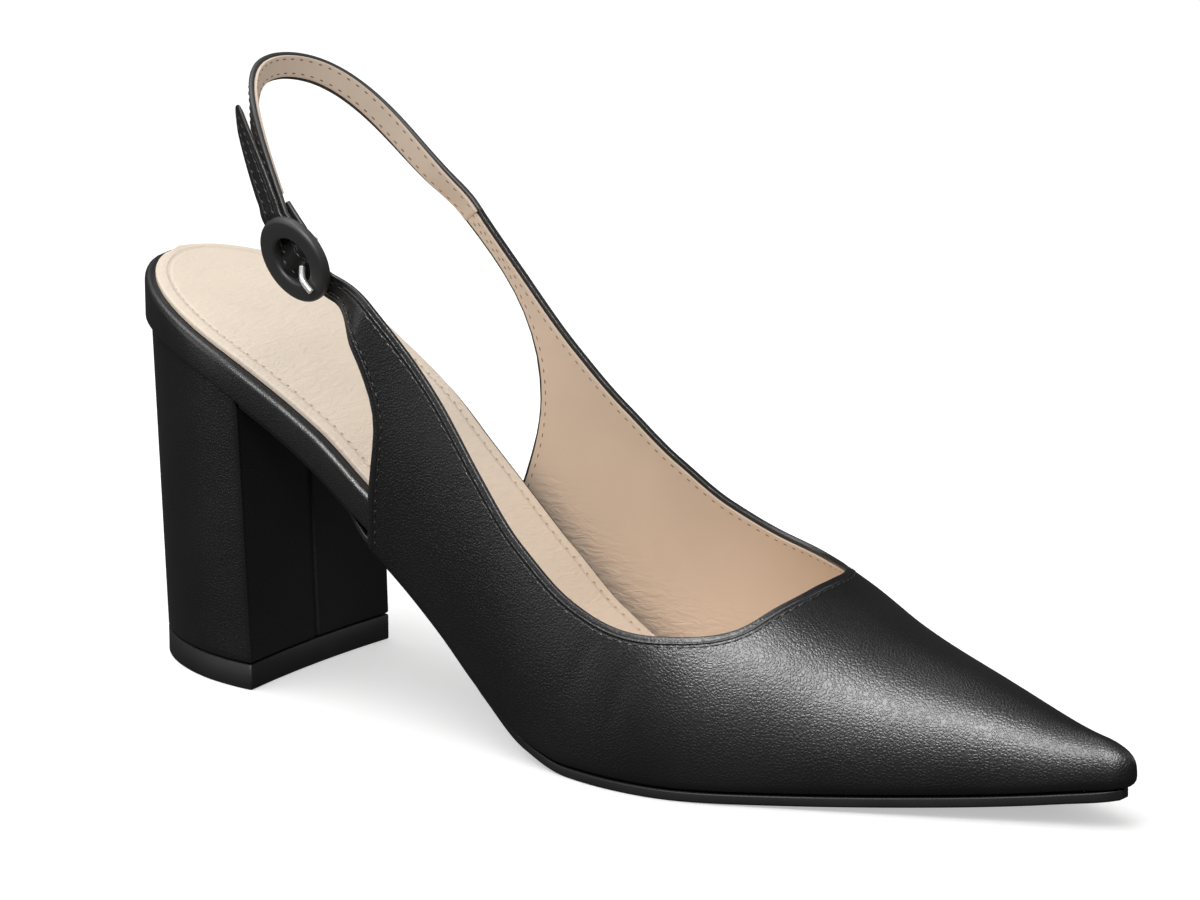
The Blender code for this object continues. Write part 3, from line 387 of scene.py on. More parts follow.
def round_points(middle, radius, degrees):
    """Points of an arc round a middle."""
    turns = np.radians(degrees)
    return np.array(middle) + radius * np.stack([np.cos(turns), np.sin(turns)], axis=-1)


def ease(share):
    share = np.clip(share, 0, 1)
    return share * share * (3 - 2 * share)


def arc(share):
    """Rises from 0 to 1 as a quarter circle does."""
    share = np.clip(share, 0, 1)
    return np.sqrt(1 - (1 - share) ** 2)


# the last

def last(column, along):
    values = LAST[:, LAST_COLUMNS.split().index(column)]
    method = flowing if column in ("rise", "spring", "ball") else smooth
    return method(LAST[:, 0], values, along)


def bed(along):
    """Height of the footbed's underside."""
    return STACK + (HEEL_HEIGHT - STACK) * last("rise", along) + TOE_SPRING * last("spring", along)


def steepness(along):
    """What turns a thickness into a height where the sole slopes."""
    small = 0.002
    slope = (bed(along + small) - bed(along - small)) / (2 * small * LENGTH)
    return np.sqrt(1 + slope ** 2)


def level(along, below):
    """Height of a surface that lies a distance below the footbed's underside, or above it if negative."""
    return bed(along) - below * steepness(np.clip(along, 0.004, 0.996))


def outline(along, side):
    """Plan of the feather line: side is -1 outside, 1 inside."""
    x = along * LENGTH
    width = SEAT_WIDTH + (BALL_WIDTH - SEAT_WIDTH) * last("ball", along)
    reach = side * width * last("outer" if side < 0 else "inner", along)
    seat_round = OUTER_SEAT_ROUND if side < 0 else INNER_SEAT_ROUND
    reach = SEAT_OFFSET + (reach - SEAT_OFFSET) * arc((x - SEAT_BACK) / seat_round)
    return x, TIP_OFFSET + (reach - TIP_OFFSET) * arc((LENGTH - x) / TOE_RADIUS)


def plan(along, side, inset=0.0, front=1.0):
    """The outline moved inwards, ending at a share of the length."""
    x, y = outline(along, side)
    hub_x = np.clip(x, HUB_SEAT, LENGTH - HUB_TOE)
    hub_y = 0.5 * (outline(hub_x / LENGTH, -1)[1] + outline(hub_x / LENGTH, 1)[1])
    away = np.hypot(x - hub_x, y - hub_y)
    pull = np.minimum(inset / np.maximum(away, 1e-9), 0.75)
    x, y = x + (hub_x - x) * pull, y + (hub_y - y) * pull
    if front < 1.0:
        y = hub_y + (y - hub_y) * arc((front * LENGTH - x) / FRONT_ROUND)
    return x, y


def last_point(along, turn, side):
    """A point of the upper's outer face: turn 0 at the feather, 1 on the ridge."""
    along, turn = np.broadcast_arrays(np.asarray(along, float), np.asarray(turn, float))
    x, edge = plan(along, side)
    floor = level(along, GAP + WALL) + FEATHER_RADIUS
    tip = arc((LENGTH - x) / (TIP_SPAN * TOE_RADIUS))
    top = bed(along) + INSTEP * last("crown", along)
    top = floor + (top - floor) * (TIP_LEFT + (1 - TIP_LEFT) * tip)
    ridge = BALL_WIDTH * last("ridge", along)
    power = 2 / last("square", along)
    up = np.sin(turn * math.pi / 2) ** power
    out = np.cos(turn * math.pi / 2) ** power
    swell = BALL_WIDTH * last("belly", along) * 4 * up * (1 - up) * tip
    y = ridge + (edge - ridge) * out + side * swell
    return np.stack([x, y, floor + (top - floor) * up], axis=-1)


def on_last(rows, side):
    """Points of the outer face from rows of a place along the foot and a turn."""
    return last_point(rows[..., 0], np.clip(rows[..., 1], 0, 1), side)


def slopes(rows, side):
    """Points of the outer face with their change along the foot and round it, and the way out."""
    small = 0.0005
    along, turn = rows[:, 0], np.clip(rows[:, 1], small, 1 - small)
    point = on_last(rows, side)
    ahead = (last_point(along + small, turn, side) - last_point(along - small, turn, side)) / (2 * small)
    upward = (last_point(along, turn + small, side) - last_point(along, turn - small, side)) / (2 * small)
    return point, ahead, upward, unit(-side * np.cross(ahead, upward))


def offset_line(rows, side, distance, rear=False):
    """An edge moved into the leather by a distance measured on the last."""
    point, ahead, upward, out = slopes(rows, side)
    run = unit(np.gradient(point, axis=0))
    inwards = unit(np.cross(out, run)) * (side if not rear else -side)
    target = point + inwards * distance
    found = np.array(rows, float)
    for _ in range(8):
        point, ahead, upward, out = slopes(found, side)
        left = target - point
        aa, au, uu = (ahead * ahead).sum(1), (ahead * upward).sum(1), (upward * upward).sum(1)
        la, lu = (left * ahead).sum(1), (left * upward).sum(1)
        scale = np.maximum(aa * uu - au * au, 1e-12)
        change = np.stack([(la * uu - lu * au) / scale, (lu * aa - la * au) / scale], axis=-1)
        found = found + np.clip(change, -0.05, 0.05)
        found[:, 1] = np.clip(found[:, 1], 0, 1)
    return found


def spread(rows, shares, measure=None):
    """Rows of a smooth curve at even shares of its length, measured on the last if a side is given."""
    rows = np.asarray(rows, float)
    chord = running(rows)
    chord = chord / chord[-1]
    fine = np.linspace(0, 1, 400)
    dense = smooth_rows(chord, rows, fine)
    path = dense if measure is None else on_last(dense, measure)
    run = running(path)
    at = np.interp(np.asarray(shares, float) * run[-1], run, fine)
    return smooth_rows(chord, rows, at)


def topline(side, inset=0.0):
    rows = OUTER_TOPLINE if side < 0 else INNER_TOPLINE
    if inset == 0:
        return rows
    moved = offset_line(spread(rows, np.linspace(0, 1, 60), side), side, inset)
    throat = rows[-1, 0]
    ridge = last_point([throat, throat + 0.01], [1.0, 1.0], -1)
    end = throat + 0.01 * inset / np.linalg.norm(ridge[1] - ridge[0])
    moved = moved[moved[:, 1] < 0.93]
    return thin_rows(np.concatenate([moved, [(end, 1.0)]]))


def rear_edge(side, inset=0.0):
    rows = OUTER_REAR if side < 0 else INNER_REAR
    if inset == 0:
        return rows
    return thin_rows(offset_line(spread(rows, np.linspace(0, 1, 40), side), side, inset, rear=True))


def thin_rows(rows, least=0.0012):
    """Drops rows that crowd, so that a curve through the rest stays calm."""
    kept = [rows[0]]
    for row in rows[1:-1]:
        if np.linalg.norm(row - kept[-1]) > least and np.linalg.norm(row - rows[-1]) > least:
            kept.append(row)
    return np.array(kept + [rows[-1]])


def quarter_grid(side, inset=0.0):
    """Places of one side's ribs from the strap's end to the toe tip, from the feather up."""
    top_rows = topline(side, inset)
    rear = spread(rear_edge(side, inset), np.linspace(0, 1, REAR_RIBS + 1), side)
    corner = rear[-1, 0]
    throat = top_rows[-1, 0]
    top_rear = spread(top_rows, np.linspace(0, CORNER_SHARE, REAR_RIBS + 1), side)
    share = np.linspace(0, 1, SIDE_RIBS + 1)[1:]
    top_side = spread(top_rows, CORNER_SHARE + (1 - CORNER_SHARE) * share, side)
    low_side = np.stack([corner + (throat - corner) * share, 0 * share], axis=-1)
    front = np.sin(np.linspace(0, 1, VAMP_RIBS + 1) * math.pi / 2)[1:]
    low_front = np.stack([throat + (1 - throat) * front, 0 * front], axis=-1)
    top_front = np.stack([throat + (1 - throat) * front, 0 * front + 1], axis=-1)
    low = np.concatenate([rear, low_side, low_front])
    top = np.concatenate([top_rear, top_side, top_front])
    t = np.linspace(0, 1, COLUMNS + 1)
    bow = np.concatenate([0 * rear[:, 0], RIB_BOW * ease((share - BOW_START) / BOW_LENGTH), 0 * front])
    step = t * (1 + bow[:, None] * (1 - t))
    grid = np.stack([low[:, :1] + (top - low)[:, :1] * step, low[:, 1:] + (top - low)[:, 1:] * t], axis=-1)
    grid[..., 1] = np.clip(grid[..., 1], 0, 1)
    return grid, on_last(grid, side)


def turned_edge(alongs, side):
    """The rounded feather and the edge turned under the footbed, inner edge first."""
    rows = []
    for degrees, inset in ((0, MARGIN), (0, FEATHER_RADIUS), (22, None), (45, None), (68, None)):
        turn = math.radians(degrees)
        if inset is None:
            inset = FEATHER_RADIUS * (1 - math.sin(turn))
        x, y = plan(alongs, side, inset)
        rise = FEATHER_RADIUS * (1 - math.cos(turn))
        rows.append(np.stack([x, y, level(x / LENGTH, GAP + WALL) + rise], axis=-1))
    return np.stack(rows, axis=1)


# strap and buckle frame

def ring_frame():
    """Ring's middle, and its directions along the strap, across it and outwards."""
    middle = np.array([RING_AT[0] * LENGTH, RING_AT[1] * SEAT_WIDTH, HEEL_HEIGHT + RING_AT[2] * STRAP_HEIGHT])
    run = unit(RING_ALONG)
    out = np.array(RING_OUT)
    out = unit(out - run * out.dot(run))
    return middle, run, np.cross(out, run), out


def in_ring(rows):
    """Points of the foot's frame from rows along the strap, out of the ring's plane and across."""
    middle, run, across, out = ring_frame()
    rows = np.asarray(rows, float)
    points = middle + rows[..., :1] * run + rows[..., 1:2] * out
    return points + rows[..., 2:3] * across if rows.shape[-1] > 2 else points


def joint():
    """Middle of the inner quarter's end, the way the strap leaves it and the way across it."""
    ends = []
    for share in (0.0, 1.0 / 6):
        low = spread(rear_edge(1), [share], 1)[0]
        high = spread(topline(1), [CORNER_SHARE * share], 1)[0]
        ends.append(on_last(straight(low, high, 10), 1))
    middle = ends[0].mean(axis=0)
    return middle, unit(middle - ends[1].mean(axis=0)), unit(ends[0][-1] - ends[0][0])


def sling_depth():
    return RING_THICK / 2 + GAP + TAB_THICK + GAP


def sling_face():
    """Outer face of the sling strap from the inner quarter to the ring, and the way it faces."""
    x = LOOP[:, 0] * LENGTH
    y = LOOP[:, 1] * SEAT_WIDTH
    z = HEEL_HEIGHT + LOOP[:, 2] * STRAP_HEIGHT
    lead = in_ring([(0.95 * RING_RADIUS, -sling_depth(), -0.03 * RING_RADIUS)])
    middle, leave, across = joint()
    start = middle + leave * np.array([[0.0], [STRAP_WIDTH / 2]])
    path = np.concatenate([start, np.stack([x, y, z], axis=-1), lead])
    points = spread(path, np.linspace(0, 1, STRAP_ROWS + 1))
    away = points - np.array([LOOP_MIDDLE * LENGTH, 0.0, 0.0])
    away[:, 0] = np.minimum(away[:, 0], 0)
    away[:, 2] = 0
    out = ring_frame()[3]
    left = np.linalg.norm(points[-1] - points, axis=1)
    close = ease(1 - (left - 0.4 * RING_RADIUS) / (3.2 * RING_RADIUS))[:, None]
    facing = unit(unit(away) * (1 - close) + out * close)
    tangent = unit(np.gradient(points, axis=0))
    near = ease(1 - np.linalg.norm(points - points[0], axis=1) / (3 * STRAP_WIDTH))[:, None]
    return points, unit(facing * (1 - near) + np.cross(tangent, across) * near)


def tab_face():
    """Outer face of the tab from its free tip through the ring, and the way it faces."""
    points, facing = sling_face()
    run_length = running(points)
    steps = np.linspace(1, 0, 12)
    at = run_length[-1] - 0.4 * RING_RADIUS - steps * TAIL_LENGTH
    tail = read_off(at, run_length, points)
    tail_out = unit(read_off(at, run_length, facing))
    tail = tail + tail_out * (2.2 * GAP + TAB_THICK + TAIL_LIFT * steps ** 2)[:, None]
    rim = RING_THICK / 2 + GAP
    over = -BAR_DROP + BAR_RADIUS + GAP + FOLD_THICK + GAP + TAB_THICK
    through = in_ring(np.stack([TAB_PATH[:, 0] * RING_RADIUS, -TAB_PATH[:, 1] * rim + TAB_PATH[:, 2] * over,
                                TAB_PATH[:, 3] * RING_RADIUS], axis=-1))
    through_out = np.repeat(ring_frame()[3][None, :], len(through), axis=0)
    return np.concatenate([tail, through]), np.concatenate([tail_out, through_out])


def tab_strip(inset=0.0):
    """Finely laid edges of the tab from its free tip to the quarter, and the way it faces."""
    points, facing = tab_face()
    run = running(points)
    at = np.linspace(0, run[-1], TAB_ROWS)
    fine = smooth_rows(run, points, at)
    out = unit(read_off(at, run, facing))
    half = TAB_WIDTH / 2 * flowing(TAB_TIP[:, 0], TAB_TIP[:, 1], at)
    sides = unit(np.cross(out, unit(np.gradient(fine, axis=0))))
    in_hole = np.exp(-(np.linalg.norm(fine - ring_frame()[0], axis=1) / TAB_SPREAD_RADIUS) ** 6)
    half = np.maximum(half * (1 + TAB_SPREAD * in_hole) - inset, 0.0002)[:, None]
    start = int(np.searchsorted(at, inset))
    return (fine - sides * half)[start:], (fine + sides * half)[start:], out[start:]


def sling_strip():
    """Points and sideways directions of the sling strap, folded round the bar at its end."""
    points, facing = sling_face()
    radius = BAR_RADIUS + GAP + FOLD_THICK
    round_bar = round_points((0, -BAR_DROP), radius, np.arange(FOLD_LEAVES, FOLD_ENDS, FOLD_STEP))
    ahead = np.array([(lead * RING_RADIUS, -sling_depth()) for lead in FOLD_LEADS])
    under = -sling_depth() - 2 * FOLD_THICK - 2 * GAP
    shares = np.array([0.40, 0.66, 0.88, FOLD_BACK])
    back = np.stack([shares * RING_RADIUS, under - np.arange(4) * FOLD_SPREAD], axis=-1)
    folded = in_ring(np.concatenate([ahead, round_bar, back]))
    all_points = np.concatenate([points, folded])
    tangent = unit(np.gradient(all_points, axis=0))
    sides = unit(np.cross(facing, tangent[:len(facing)]))
    start, finish = joint()[2], ring_frame()[2]
    start = start * np.sign(sides[0].dot(start))
    for k in range(4):
        sides[k] = unit(start * (1 - k / 4) + sides[k] * (k / 4))
    finish = finish * np.sign(sides[-1].dot(finish))
    return all_points, np.concatenate([sides, np.repeat(finish[None, :], len(folded), axis=0)]), facing


def bridge(first, first_next, second, second_next, count):
    """Ribs between two ribs, leaving and arriving in the direction of their neighbours."""
    gap = np.linalg.norm(second.mean(0) - first.mean(0))
    leave = unit(first - first_next) * gap
    arrive = unit(second_next - second) * gap
    return [cubic(t, first, leave, second, arrive) for t in np.linspace(0, 1, count + 2)[1:-1]]


# the model frame lies a shift away from the row frame: the buckle's ring gives it

def row_shift():
    low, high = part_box("buckle_ring")
    return (np.array(low) + np.array(high)) / 2 - ring_frame()[0]


SHIFT = row_shift()


# shader maths

class Wire:
    """A shader socket that adds its maths nodes when it is used in an expression."""

    def __init__(self, maker, socket):
        self.maker = maker
        self.socket = socket

    def maths(self, operation, other):
        return self.maker.node("ShaderNodeMath", {"operation": operation}, {0: self, 1: other})

    def __add__(self, other):
        return self.maths("ADD", other)

    def __sub__(self, other):
        return self.maths("SUBTRACT", other)

    def __mul__(self, other):
        return self.maths("MULTIPLY", other)

    def ramp(self, low, high, start=0.0, end=1.0):
        """Smooth change from start to end as the value goes from low to high."""
        return self.maker.node("ShaderNodeMapRange", {"interpolation_type": "SMOOTHSTEP"}, {
            "Value": self, "From Min": low, "From Max": high, "To Min": start, "To Max": end})


def feed(tree, socket, value):
    """Links a socket or sets its value."""
    if isinstance(value, Wire):
        value = value.socket
    if isinstance(value, bpy.types.NodeSocket):
        tree.links.new(value, socket)
    elif socket.type == "RGBA":
        socket.default_value = (*value[:3], 1.0)
    else:
        socket.default_value = value


def add_node(tree, kind, settings=None, inputs=None):
    made = tree.nodes.new(kind)
    for key, value in (settings or {}).items():
        setattr(made, key, value)
    for key, value in (inputs or {}).items():
        feed(tree, made.inputs[key], value)
    return made


class Finish:
    """A material with its nodes."""

    def __init__(self, name):
        self.material = bpy.data.materials.new(name)
        self.material.use_nodes = True
        self.tree = self.material.node_tree
        self.shader = self.tree.nodes["Principled BSDF"]

    def node(self, kind, settings=None, inputs=None, output=0):
        return Wire(self, add_node(self.tree, kind, settings, inputs).outputs[output])

    def where(self, stretch=(1.0, 1.0, 1.0)):
        """Object coordinates, stretched."""
        place = self.node("ShaderNodeTexCoord", output="Object")
        return self.node("ShaderNodeMapping", {}, {"Vector": place, "Scale": stretch})

    def away(self, point):
        """Distance from a place of the frame."""
        place = self.node("ShaderNodeTexCoord", output="Object")
        return self.node("ShaderNodeVectorMath", {"operation": "DISTANCE"},
                         {0: place, 1: tuple(float(value) for value in point)}, output="Value")

    def noise(self, scale, detail=3.0, roughness=0.5, stretch=(1.0, 1.0, 1.0), distortion=0.0):
        return self.node("ShaderNodeTexNoise", {}, {
            "Vector": self.where(stretch), "Scale": scale, "Detail": detail, "Roughness": roughness,
            "Distortion": distortion})

    def cells(self, scale):
        """Distance from the edge of the nearest cell."""
        return self.node("ShaderNodeTexVoronoi", {"feature": "DISTANCE_TO_EDGE"},
                         {"Vector": self.where(), "Scale": scale})

    def attribute(self, name):
        return self.node("ShaderNodeAttribute", {"attribute_name": name}, output="Fac")

    def mix(self, share, first, second):
        made = self.tree.nodes.new("ShaderNodeMix")
        made.data_type = "RGBA"
        colours = [socket for socket in made.inputs if socket.type == "RGBA"]
        for socket, value in ((made.inputs[0], share), (colours[0], first), (colours[1], second)):
            feed(self.tree, socket, value)
        return Wire(self, next(socket for socket in made.outputs if socket.type == "RGBA"))

    def clouded(self, share, colour, low, high):
        """A colour between two tints of itself."""
        return self.mix(share, tint(colour, low), tint(colour, high))

    def bump(self, height, distance, normal=None):
        values = {"Height": height, "Distance": distance, "Strength": 1.0}
        if normal is not None:
            values["Normal"] = normal
        return self.node("ShaderNodeBump", {}, values)

    def set(self, **values):
        """Sets the shader's sockets, named with _ for a space."""
        for key, value in values.items():
            feed(self.tree, self.shader.inputs[key.replace("_", " ")], value)
        return self.material


def tint(colour, share):
    return tuple(channel * share for channel in colour[:3])


def grain(finish, size, depth, fine_size, fine_depth):
    """Leather grain: small cells with finer creases between them, as a normal."""
    cells = finish.cells(1 / size)
    pebbles = cells.ramp(0.0, 0.32)
    wander = finish.noise(1 / fine_size, 4.0, 0.6)
    first = finish.bump(pebbles, depth)
    return finish.bump(wander, fine_depth, first)


def black_leather(colour):
    """Finished calf leather, with a folded edge and a sewn groove along it; the edge carries a painted
    highlight and the spare hole painted shade.
    """
    finish = Finish("black_leather")
    edge = finish.attribute("edge_distance")
    hole = finish.away(np.array(SPARE_HOLE) + SHIFT) * 1000.0
    cloud = finish.noise(28.0, 3.0)
    base = finish.clouded(cloud.ramp(0.3, 0.7), colour, 0.85, 1.15)
    # the folded edge is painted lighter: a painted highlight along its rounded fold, with real wear only in
    # its slightly higher roughness
    edge_wear_and_sheen = edge.ramp(0.9, 0.0)
    base = finish.mix(edge_wear_and_sheen * 0.35, base, tint(colour, 1.6))
    # the spare hole is painted near black: painted shade standing in for the hole's depth, with a bump at its
    # rim
    base = finish.mix(hole.ramp(0.7, 0.6), base, (0.0008, 0.0008, 0.0008))
    skin = grain(finish, 0.00070, 0.000030, 0.00032, 0.000020)
    fold = edge.ramp(0.75, 1.15)
    groove = edge.ramp(1.15, 1.55) * edge.ramp(2.15, 1.75)
    relief = finish.bump(fold * 0.55 - groove * 0.6 + hole.ramp(0.45, 0.75), 0.00022, skin)
    relief = finish.bump(finish.attribute("crease"), 0.00025, relief)
    rough = cloud.ramp(0.25, 0.75, 0.36, 0.44) + edge_wear_and_sheen * 0.05
    return finish.set(Base_Color=base, Roughness=rough, Normal=relief, Specular_IOR_Level=0.5)


def plain_leather(name, colour, low, high, size):
    """Leather that is pulled over a board or a block: smoother, with little grain."""
    finish = Finish(name)
    cloud = finish.noise(30.0, 3.0)
    base = finish.clouded(cloud.ramp(0.3, 0.7), colour, 0.85, 1.2)
    skin = grain(finish, size, 0.00002, 0.0003, 0.000016)
    return finish.set(Base_Color=base, Roughness=cloud.ramp(0.25, 0.75, low, high), Normal=skin,
                      Specular_IOR_Level=0.5)


def lining_leather(colour):
    """Soft unfinished lining, darkened deep in the toe by painted shade, wrinkled low on the inner quarter.
    """
    finish = Finish("lining_leather")
    depth = finish.attribute("toe_share")
    cloud = finish.noise(22.0, 4.0, 0.6)
    base = finish.clouded(cloud.ramp(0.25, 0.75), colour, 0.94, 1.05)
    # painted shade: the lining darkens deep in the toe
    base = finish.mix(depth.ramp(0.35, 1.0) * 0.35, base, tint(colour, 0.6))
    slack = finish.attribute("slack")
    folds = finish.noise(560.0, 3.0, 0.5, (0.5, 1.0, 1.5), 0.6)
    wrinkled = finish.bump(folds.ramp(0.3, 0.7) * slack, 0.00016)
    skin = finish.bump(finish.noise(2600.0, 4.0, 0.6), 0.00003, wrinkled)
    return finish.set(Base_Color=base, Roughness=cloud.ramp(0.3, 0.7, 0.56, 0.68), Normal=skin,
                      Specular_IOR_Level=0.3)


def sock_leather(colour):
    """Padded sock: pale leather with very fine creases across it, with painted shade towards the toe and in
    the sewn groove.
    """
    finish = Finish("sock_leather")
    cloud = finish.noise(18.0, 4.0, 0.6)
    base = finish.clouded(cloud.ramp(0.25, 0.75), colour, 0.96, 1.03)
    # painted shade: the sock darkens towards the toe, under the vamp
    base = finish.mix(finish.attribute("toe_share").ramp(0.35, 1.0) * 0.4, base, tint(colour, 0.6))
    edge = finish.attribute("edge_distance")
    groove = edge.ramp(2.2, 2.9) * edge.ramp(3.8, 3.1)
    # painted shade in the sewn groove
    base = finish.mix(groove * 0.2, base, tint(colour, 0.75))
    creases = finish.noise(520.0, 3.0, 0.55, (1.5, 0.5, 1.0), 0.8)
    soft = finish.bump(creases.ramp(0.3, 0.7), 0.00008)
    soft = finish.bump(finish.noise(2800.0, 3.0, 0.6), 0.00002, soft)
    sewn = finish.bump(groove * -1.0, 0.00018, soft)
    return finish.set(Base_Color=base, Roughness=cloud.ramp(0.3, 0.7, 0.5, 0.62), Normal=sewn,
                      Specular_IOR_Level=0.35)


def black_rubber(colour):
    finish = Finish("black_rubber")
    cloud = finish.noise(40.0, 3.0)
    base = finish.clouded(cloud.ramp(0.3, 0.7), colour, 0.8, 1.3)
    speckle = finish.bump(finish.noise(2400.0, 3.0, 0.7), 0.00004)
    return finish.set(Base_Color=base, Roughness=cloud.ramp(0.25, 0.75, 0.5, 0.64), Normal=speckle,
                      Specular_IOR_Level=0.4)


def bright_steel():
    finish = Finish("bright_steel")
    cloud = finish.noise(300.0, 3.0)
    brushed = finish.bump(finish.noise(3000.0, 2.0), 0.000006)
    base = finish.mix(cloud.ramp(0.3, 0.7), (0.88, 0.87, 0.86), (0.94, 0.94, 0.93))
    rough = cloud.ramp(0.3, 0.7, 0.28, 0.38)
    return finish.set(Base_Color=base, Roughness=rough, Metallic=0.3, Normal=brushed)


def thread(name, colour):
    finish = Finish(name)
    strands = finish.noise(3500.0, 2.0)
    base = finish.clouded(strands.ramp(0.3, 0.7), colour, 0.8, 1.25)
    return finish.set(Base_Color=base, Roughness=0.5, Normal=finish.bump(strands, 0.00004))


# meshes

def put_in(name, data):
    """Object of the scene, at the origin."""
    thing = bpy.data.objects.new(name, data)
    bpy.context.scene.collection.objects.link(thing)
    return thing


def made_by(guide):
    """Plain mesh of what a guide makes. The guide itself goes."""
    bpy.context.view_layer.update()
    view = bpy.context.evaluated_depsgraph_get()
    mesh = bpy.data.meshes.new_from_object(guide.evaluated_get(view), depsgraph=view)
    bpy.data.objects.remove(guide, do_unlink=True)
    return mesh


def new_piece(name, vertices, faces, finish):
    mesh = bpy.data.meshes.new(name)
    mesh.from_pydata((np.asarray(vertices, float) + SHIFT).tolist(), [], faces)
    mesh.validate()
    mesh.shade_smooth()
    mesh.set_sharp_from_angle(angle=math.radians(SHARP_ANGLE))
    mesh.materials.append(finish)
    piece = put_in(name, mesh)
    return piece


def place(piece, *nodes):
    """Lets a piece ride on the shoe and stand for the nodes that it covers."""
    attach(piece, BODY)
    if nodes:
        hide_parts(*nodes)


def give_attribute(piece, name, values):
    layer = piece.data.attributes.new(name, "FLOAT", "POINT")
    layer.data.foreach_set("value", np.asarray(values, np.float32))


def sheet_normals(points, faces):
    """Way out of a sheet at each of its points."""
    normals = np.zeros_like(points)
    for face in faces:
        corners = points[face]
        normals[face] += np.cross(corners[2] - corners[0], corners[-1] - corners[1])
    return unit(normals)


def closed_sheet(vertices, faces, near, far, bulge):
    """Sheet between two depths below its outer face, with a rounded rim."""
    points = np.asarray(vertices, float)
    count = len(points)
    normals = sheet_normals(points, faces)
    near, far = np.broadcast_to(near, count)[:, None], np.broadcast_to(far, count)[:, None]
    ways = dict.fromkeys((first, face[(k + 1) % len(face)]) for face in faces for k, first in enumerate(face))
    open_edges = [edge for edge in ways if (edge[1], edge[0]) not in ways]
    outwards = np.zeros_like(points)
    for first, second in open_edges:
        away = np.cross(points[second] - points[first], normals[first])
        outwards[first] += away
        outwards[second] += away
    border = sorted({k for edge in open_edges for k in edge})
    place_of = {k: 2 * count + RIM_STEPS * n for n, k in enumerate(border)}
    rim = []
    for k in border:
        away = unit(outwards[k])
        middle, half = (near[k] + far[k]) / 2, (far[k] - near[k]) / 2
        for turn in np.linspace(0, math.pi, RIM_STEPS + 2)[1:-1]:
            depth = middle - half * math.cos(turn)
            rim.append(points[k] - normals[k] * depth + away * (bulge * math.sin(turn)))
    made = [list(face) for face in faces] + [[count + k for k in face[::-1]] for face in faces]
    for first, second in open_edges:
        one = [first] + [place_of[first] + k for k in range(RIM_STEPS)] + [count + first]
        two = [second] + [place_of[second] + k for k in range(RIM_STEPS)] + [count + second]
        for k in range(RIM_STEPS + 1):
            made.append([two[k], one[k], one[k + 1], two[k + 1]])
    return np.concatenate([points - normals * near, points - normals * far, np.array(rim)]), made


def mark_distance(piece, name, lines, most=0.02):
    """Stores each point's distance in millimetres from some lines."""
    points = np.concatenate([np.asarray(line, float) for line in lines]) + SHIFT
    tree = KDTree(len(points))
    for index, point in enumerate(points):
        tree.insert(Vector(point), index)
    tree.balance()
    give_attribute(piece, name, [min(tree.find(v.co)[2], most) * 1000 for v in piece.data.vertices])


class Sheet:
    """Collects rows of points into one sheet, joined where they meet."""

    def __init__(self):
        self.vertices, self.faces, self.values, self.index = [], [], [], {}

    def put(self, point, value):
        key = tuple(np.round(point, 7))
        if key not in self.index:
            self.index[key] = len(self.vertices)
            self.vertices.append(tuple(point))
            self.values.append(value)
        return self.index[key]

    def add(self, rows, values, flip):
        """Faces between the rows, the last in triangles that both sides can share."""
        numbered = [[self.put(p, v) for p in row] for row, v in zip(rows, values)]
        self.join(numbered, flip)
        return numbered

    def join(self, rows, flip):
        for r in range(len(rows) - 1):
            for c in range(len(rows[r]) - 1):
                quad = [rows[r][c], rows[r + 1][c], rows[r + 1][c + 1], rows[r][c + 1]]
                parts = [quad] if r < len(rows) - 2 else [quad[:3], [quad[0], quad[2], quad[3]]]
                for part in parts:
                    corners = list(dict.fromkeys(part[::-1] if flip else part))
                    if len(corners) > 2:
                        self.faces.append(corners)


def side_rows(side, inset=0.0):
    """Rows of one side with the tab before them, their shares of the wall, and the places along the foot."""
    grid, points = quarter_grid(side, inset)
    rows = list(points)
    walls = list(1 + (TOE_WALL / WALL - 1) * np.clip((grid[:, 0, 0] - THIN_START) / THIN_LENGTH, 0, 1))
    if side < 0:
        low, high, _ = tab_strip(inset)
        tab = [straight(*ends, COLUMNS + 1) for ends in zip(low, high)]
        if np.linalg.norm(tab[-1][0] - points[0][0]) > np.linalg.norm(tab[-1][-1] - points[0][0]):
            tab = [rib[::-1] for rib in tab]
        rows, walls = rows[TAPER_RIBS:], walls[TAPER_RIBS:]
        between = bridge(tab[-1], tab[-4], rows[0], rows[1], BRIDGE_ROWS)
        tab_wall = TAB_LEATHER / bpy.context.scene.pump_sizes.leather
        blends = [tab_wall + (1 - tab_wall) * (k + 1) / (BRIDGE_ROWS + 1) for k in range(BRIDGE_ROWS)]
        rows = tab + between + rows
        walls = [tab_wall] * len(tab) + blends + walls
    return rows, walls, grid


def toe_share(along):
    """How deep in the toe a place lies."""
    return np.clip((along - SHADE_START) / SHADE_LENGTH, 0, 1)


def kept_edges(side):
    """Topline and rear edge of one side, with the share of each that the tab's taper takes up."""
    cut = TAPER_RIBS / REAR_RIBS if side < 0 else 0.0
    return (topline(side), CORNER_SHARE * cut), (rear_edge(side), cut)


def edge_lines():
    """Topline, rear edges and tab edges, finely laid."""
    lines = []
    for side in (-1, 1):
        for rows, start in kept_edges(side):
            lines.append(on_last(spread(rows, np.linspace(start, 1, EDGE_POINTS), side), side))
    rows, _, _ = side_rows(-1)
    tab = rows[:TAB_ROWS + BRIDGE_ROWS + 1]
    for column in (0, -1):
        lines.append(finely(np.array([row[column] for row in tab]), TAB_POINTS))
    lines.append(tab[0])
    return lines


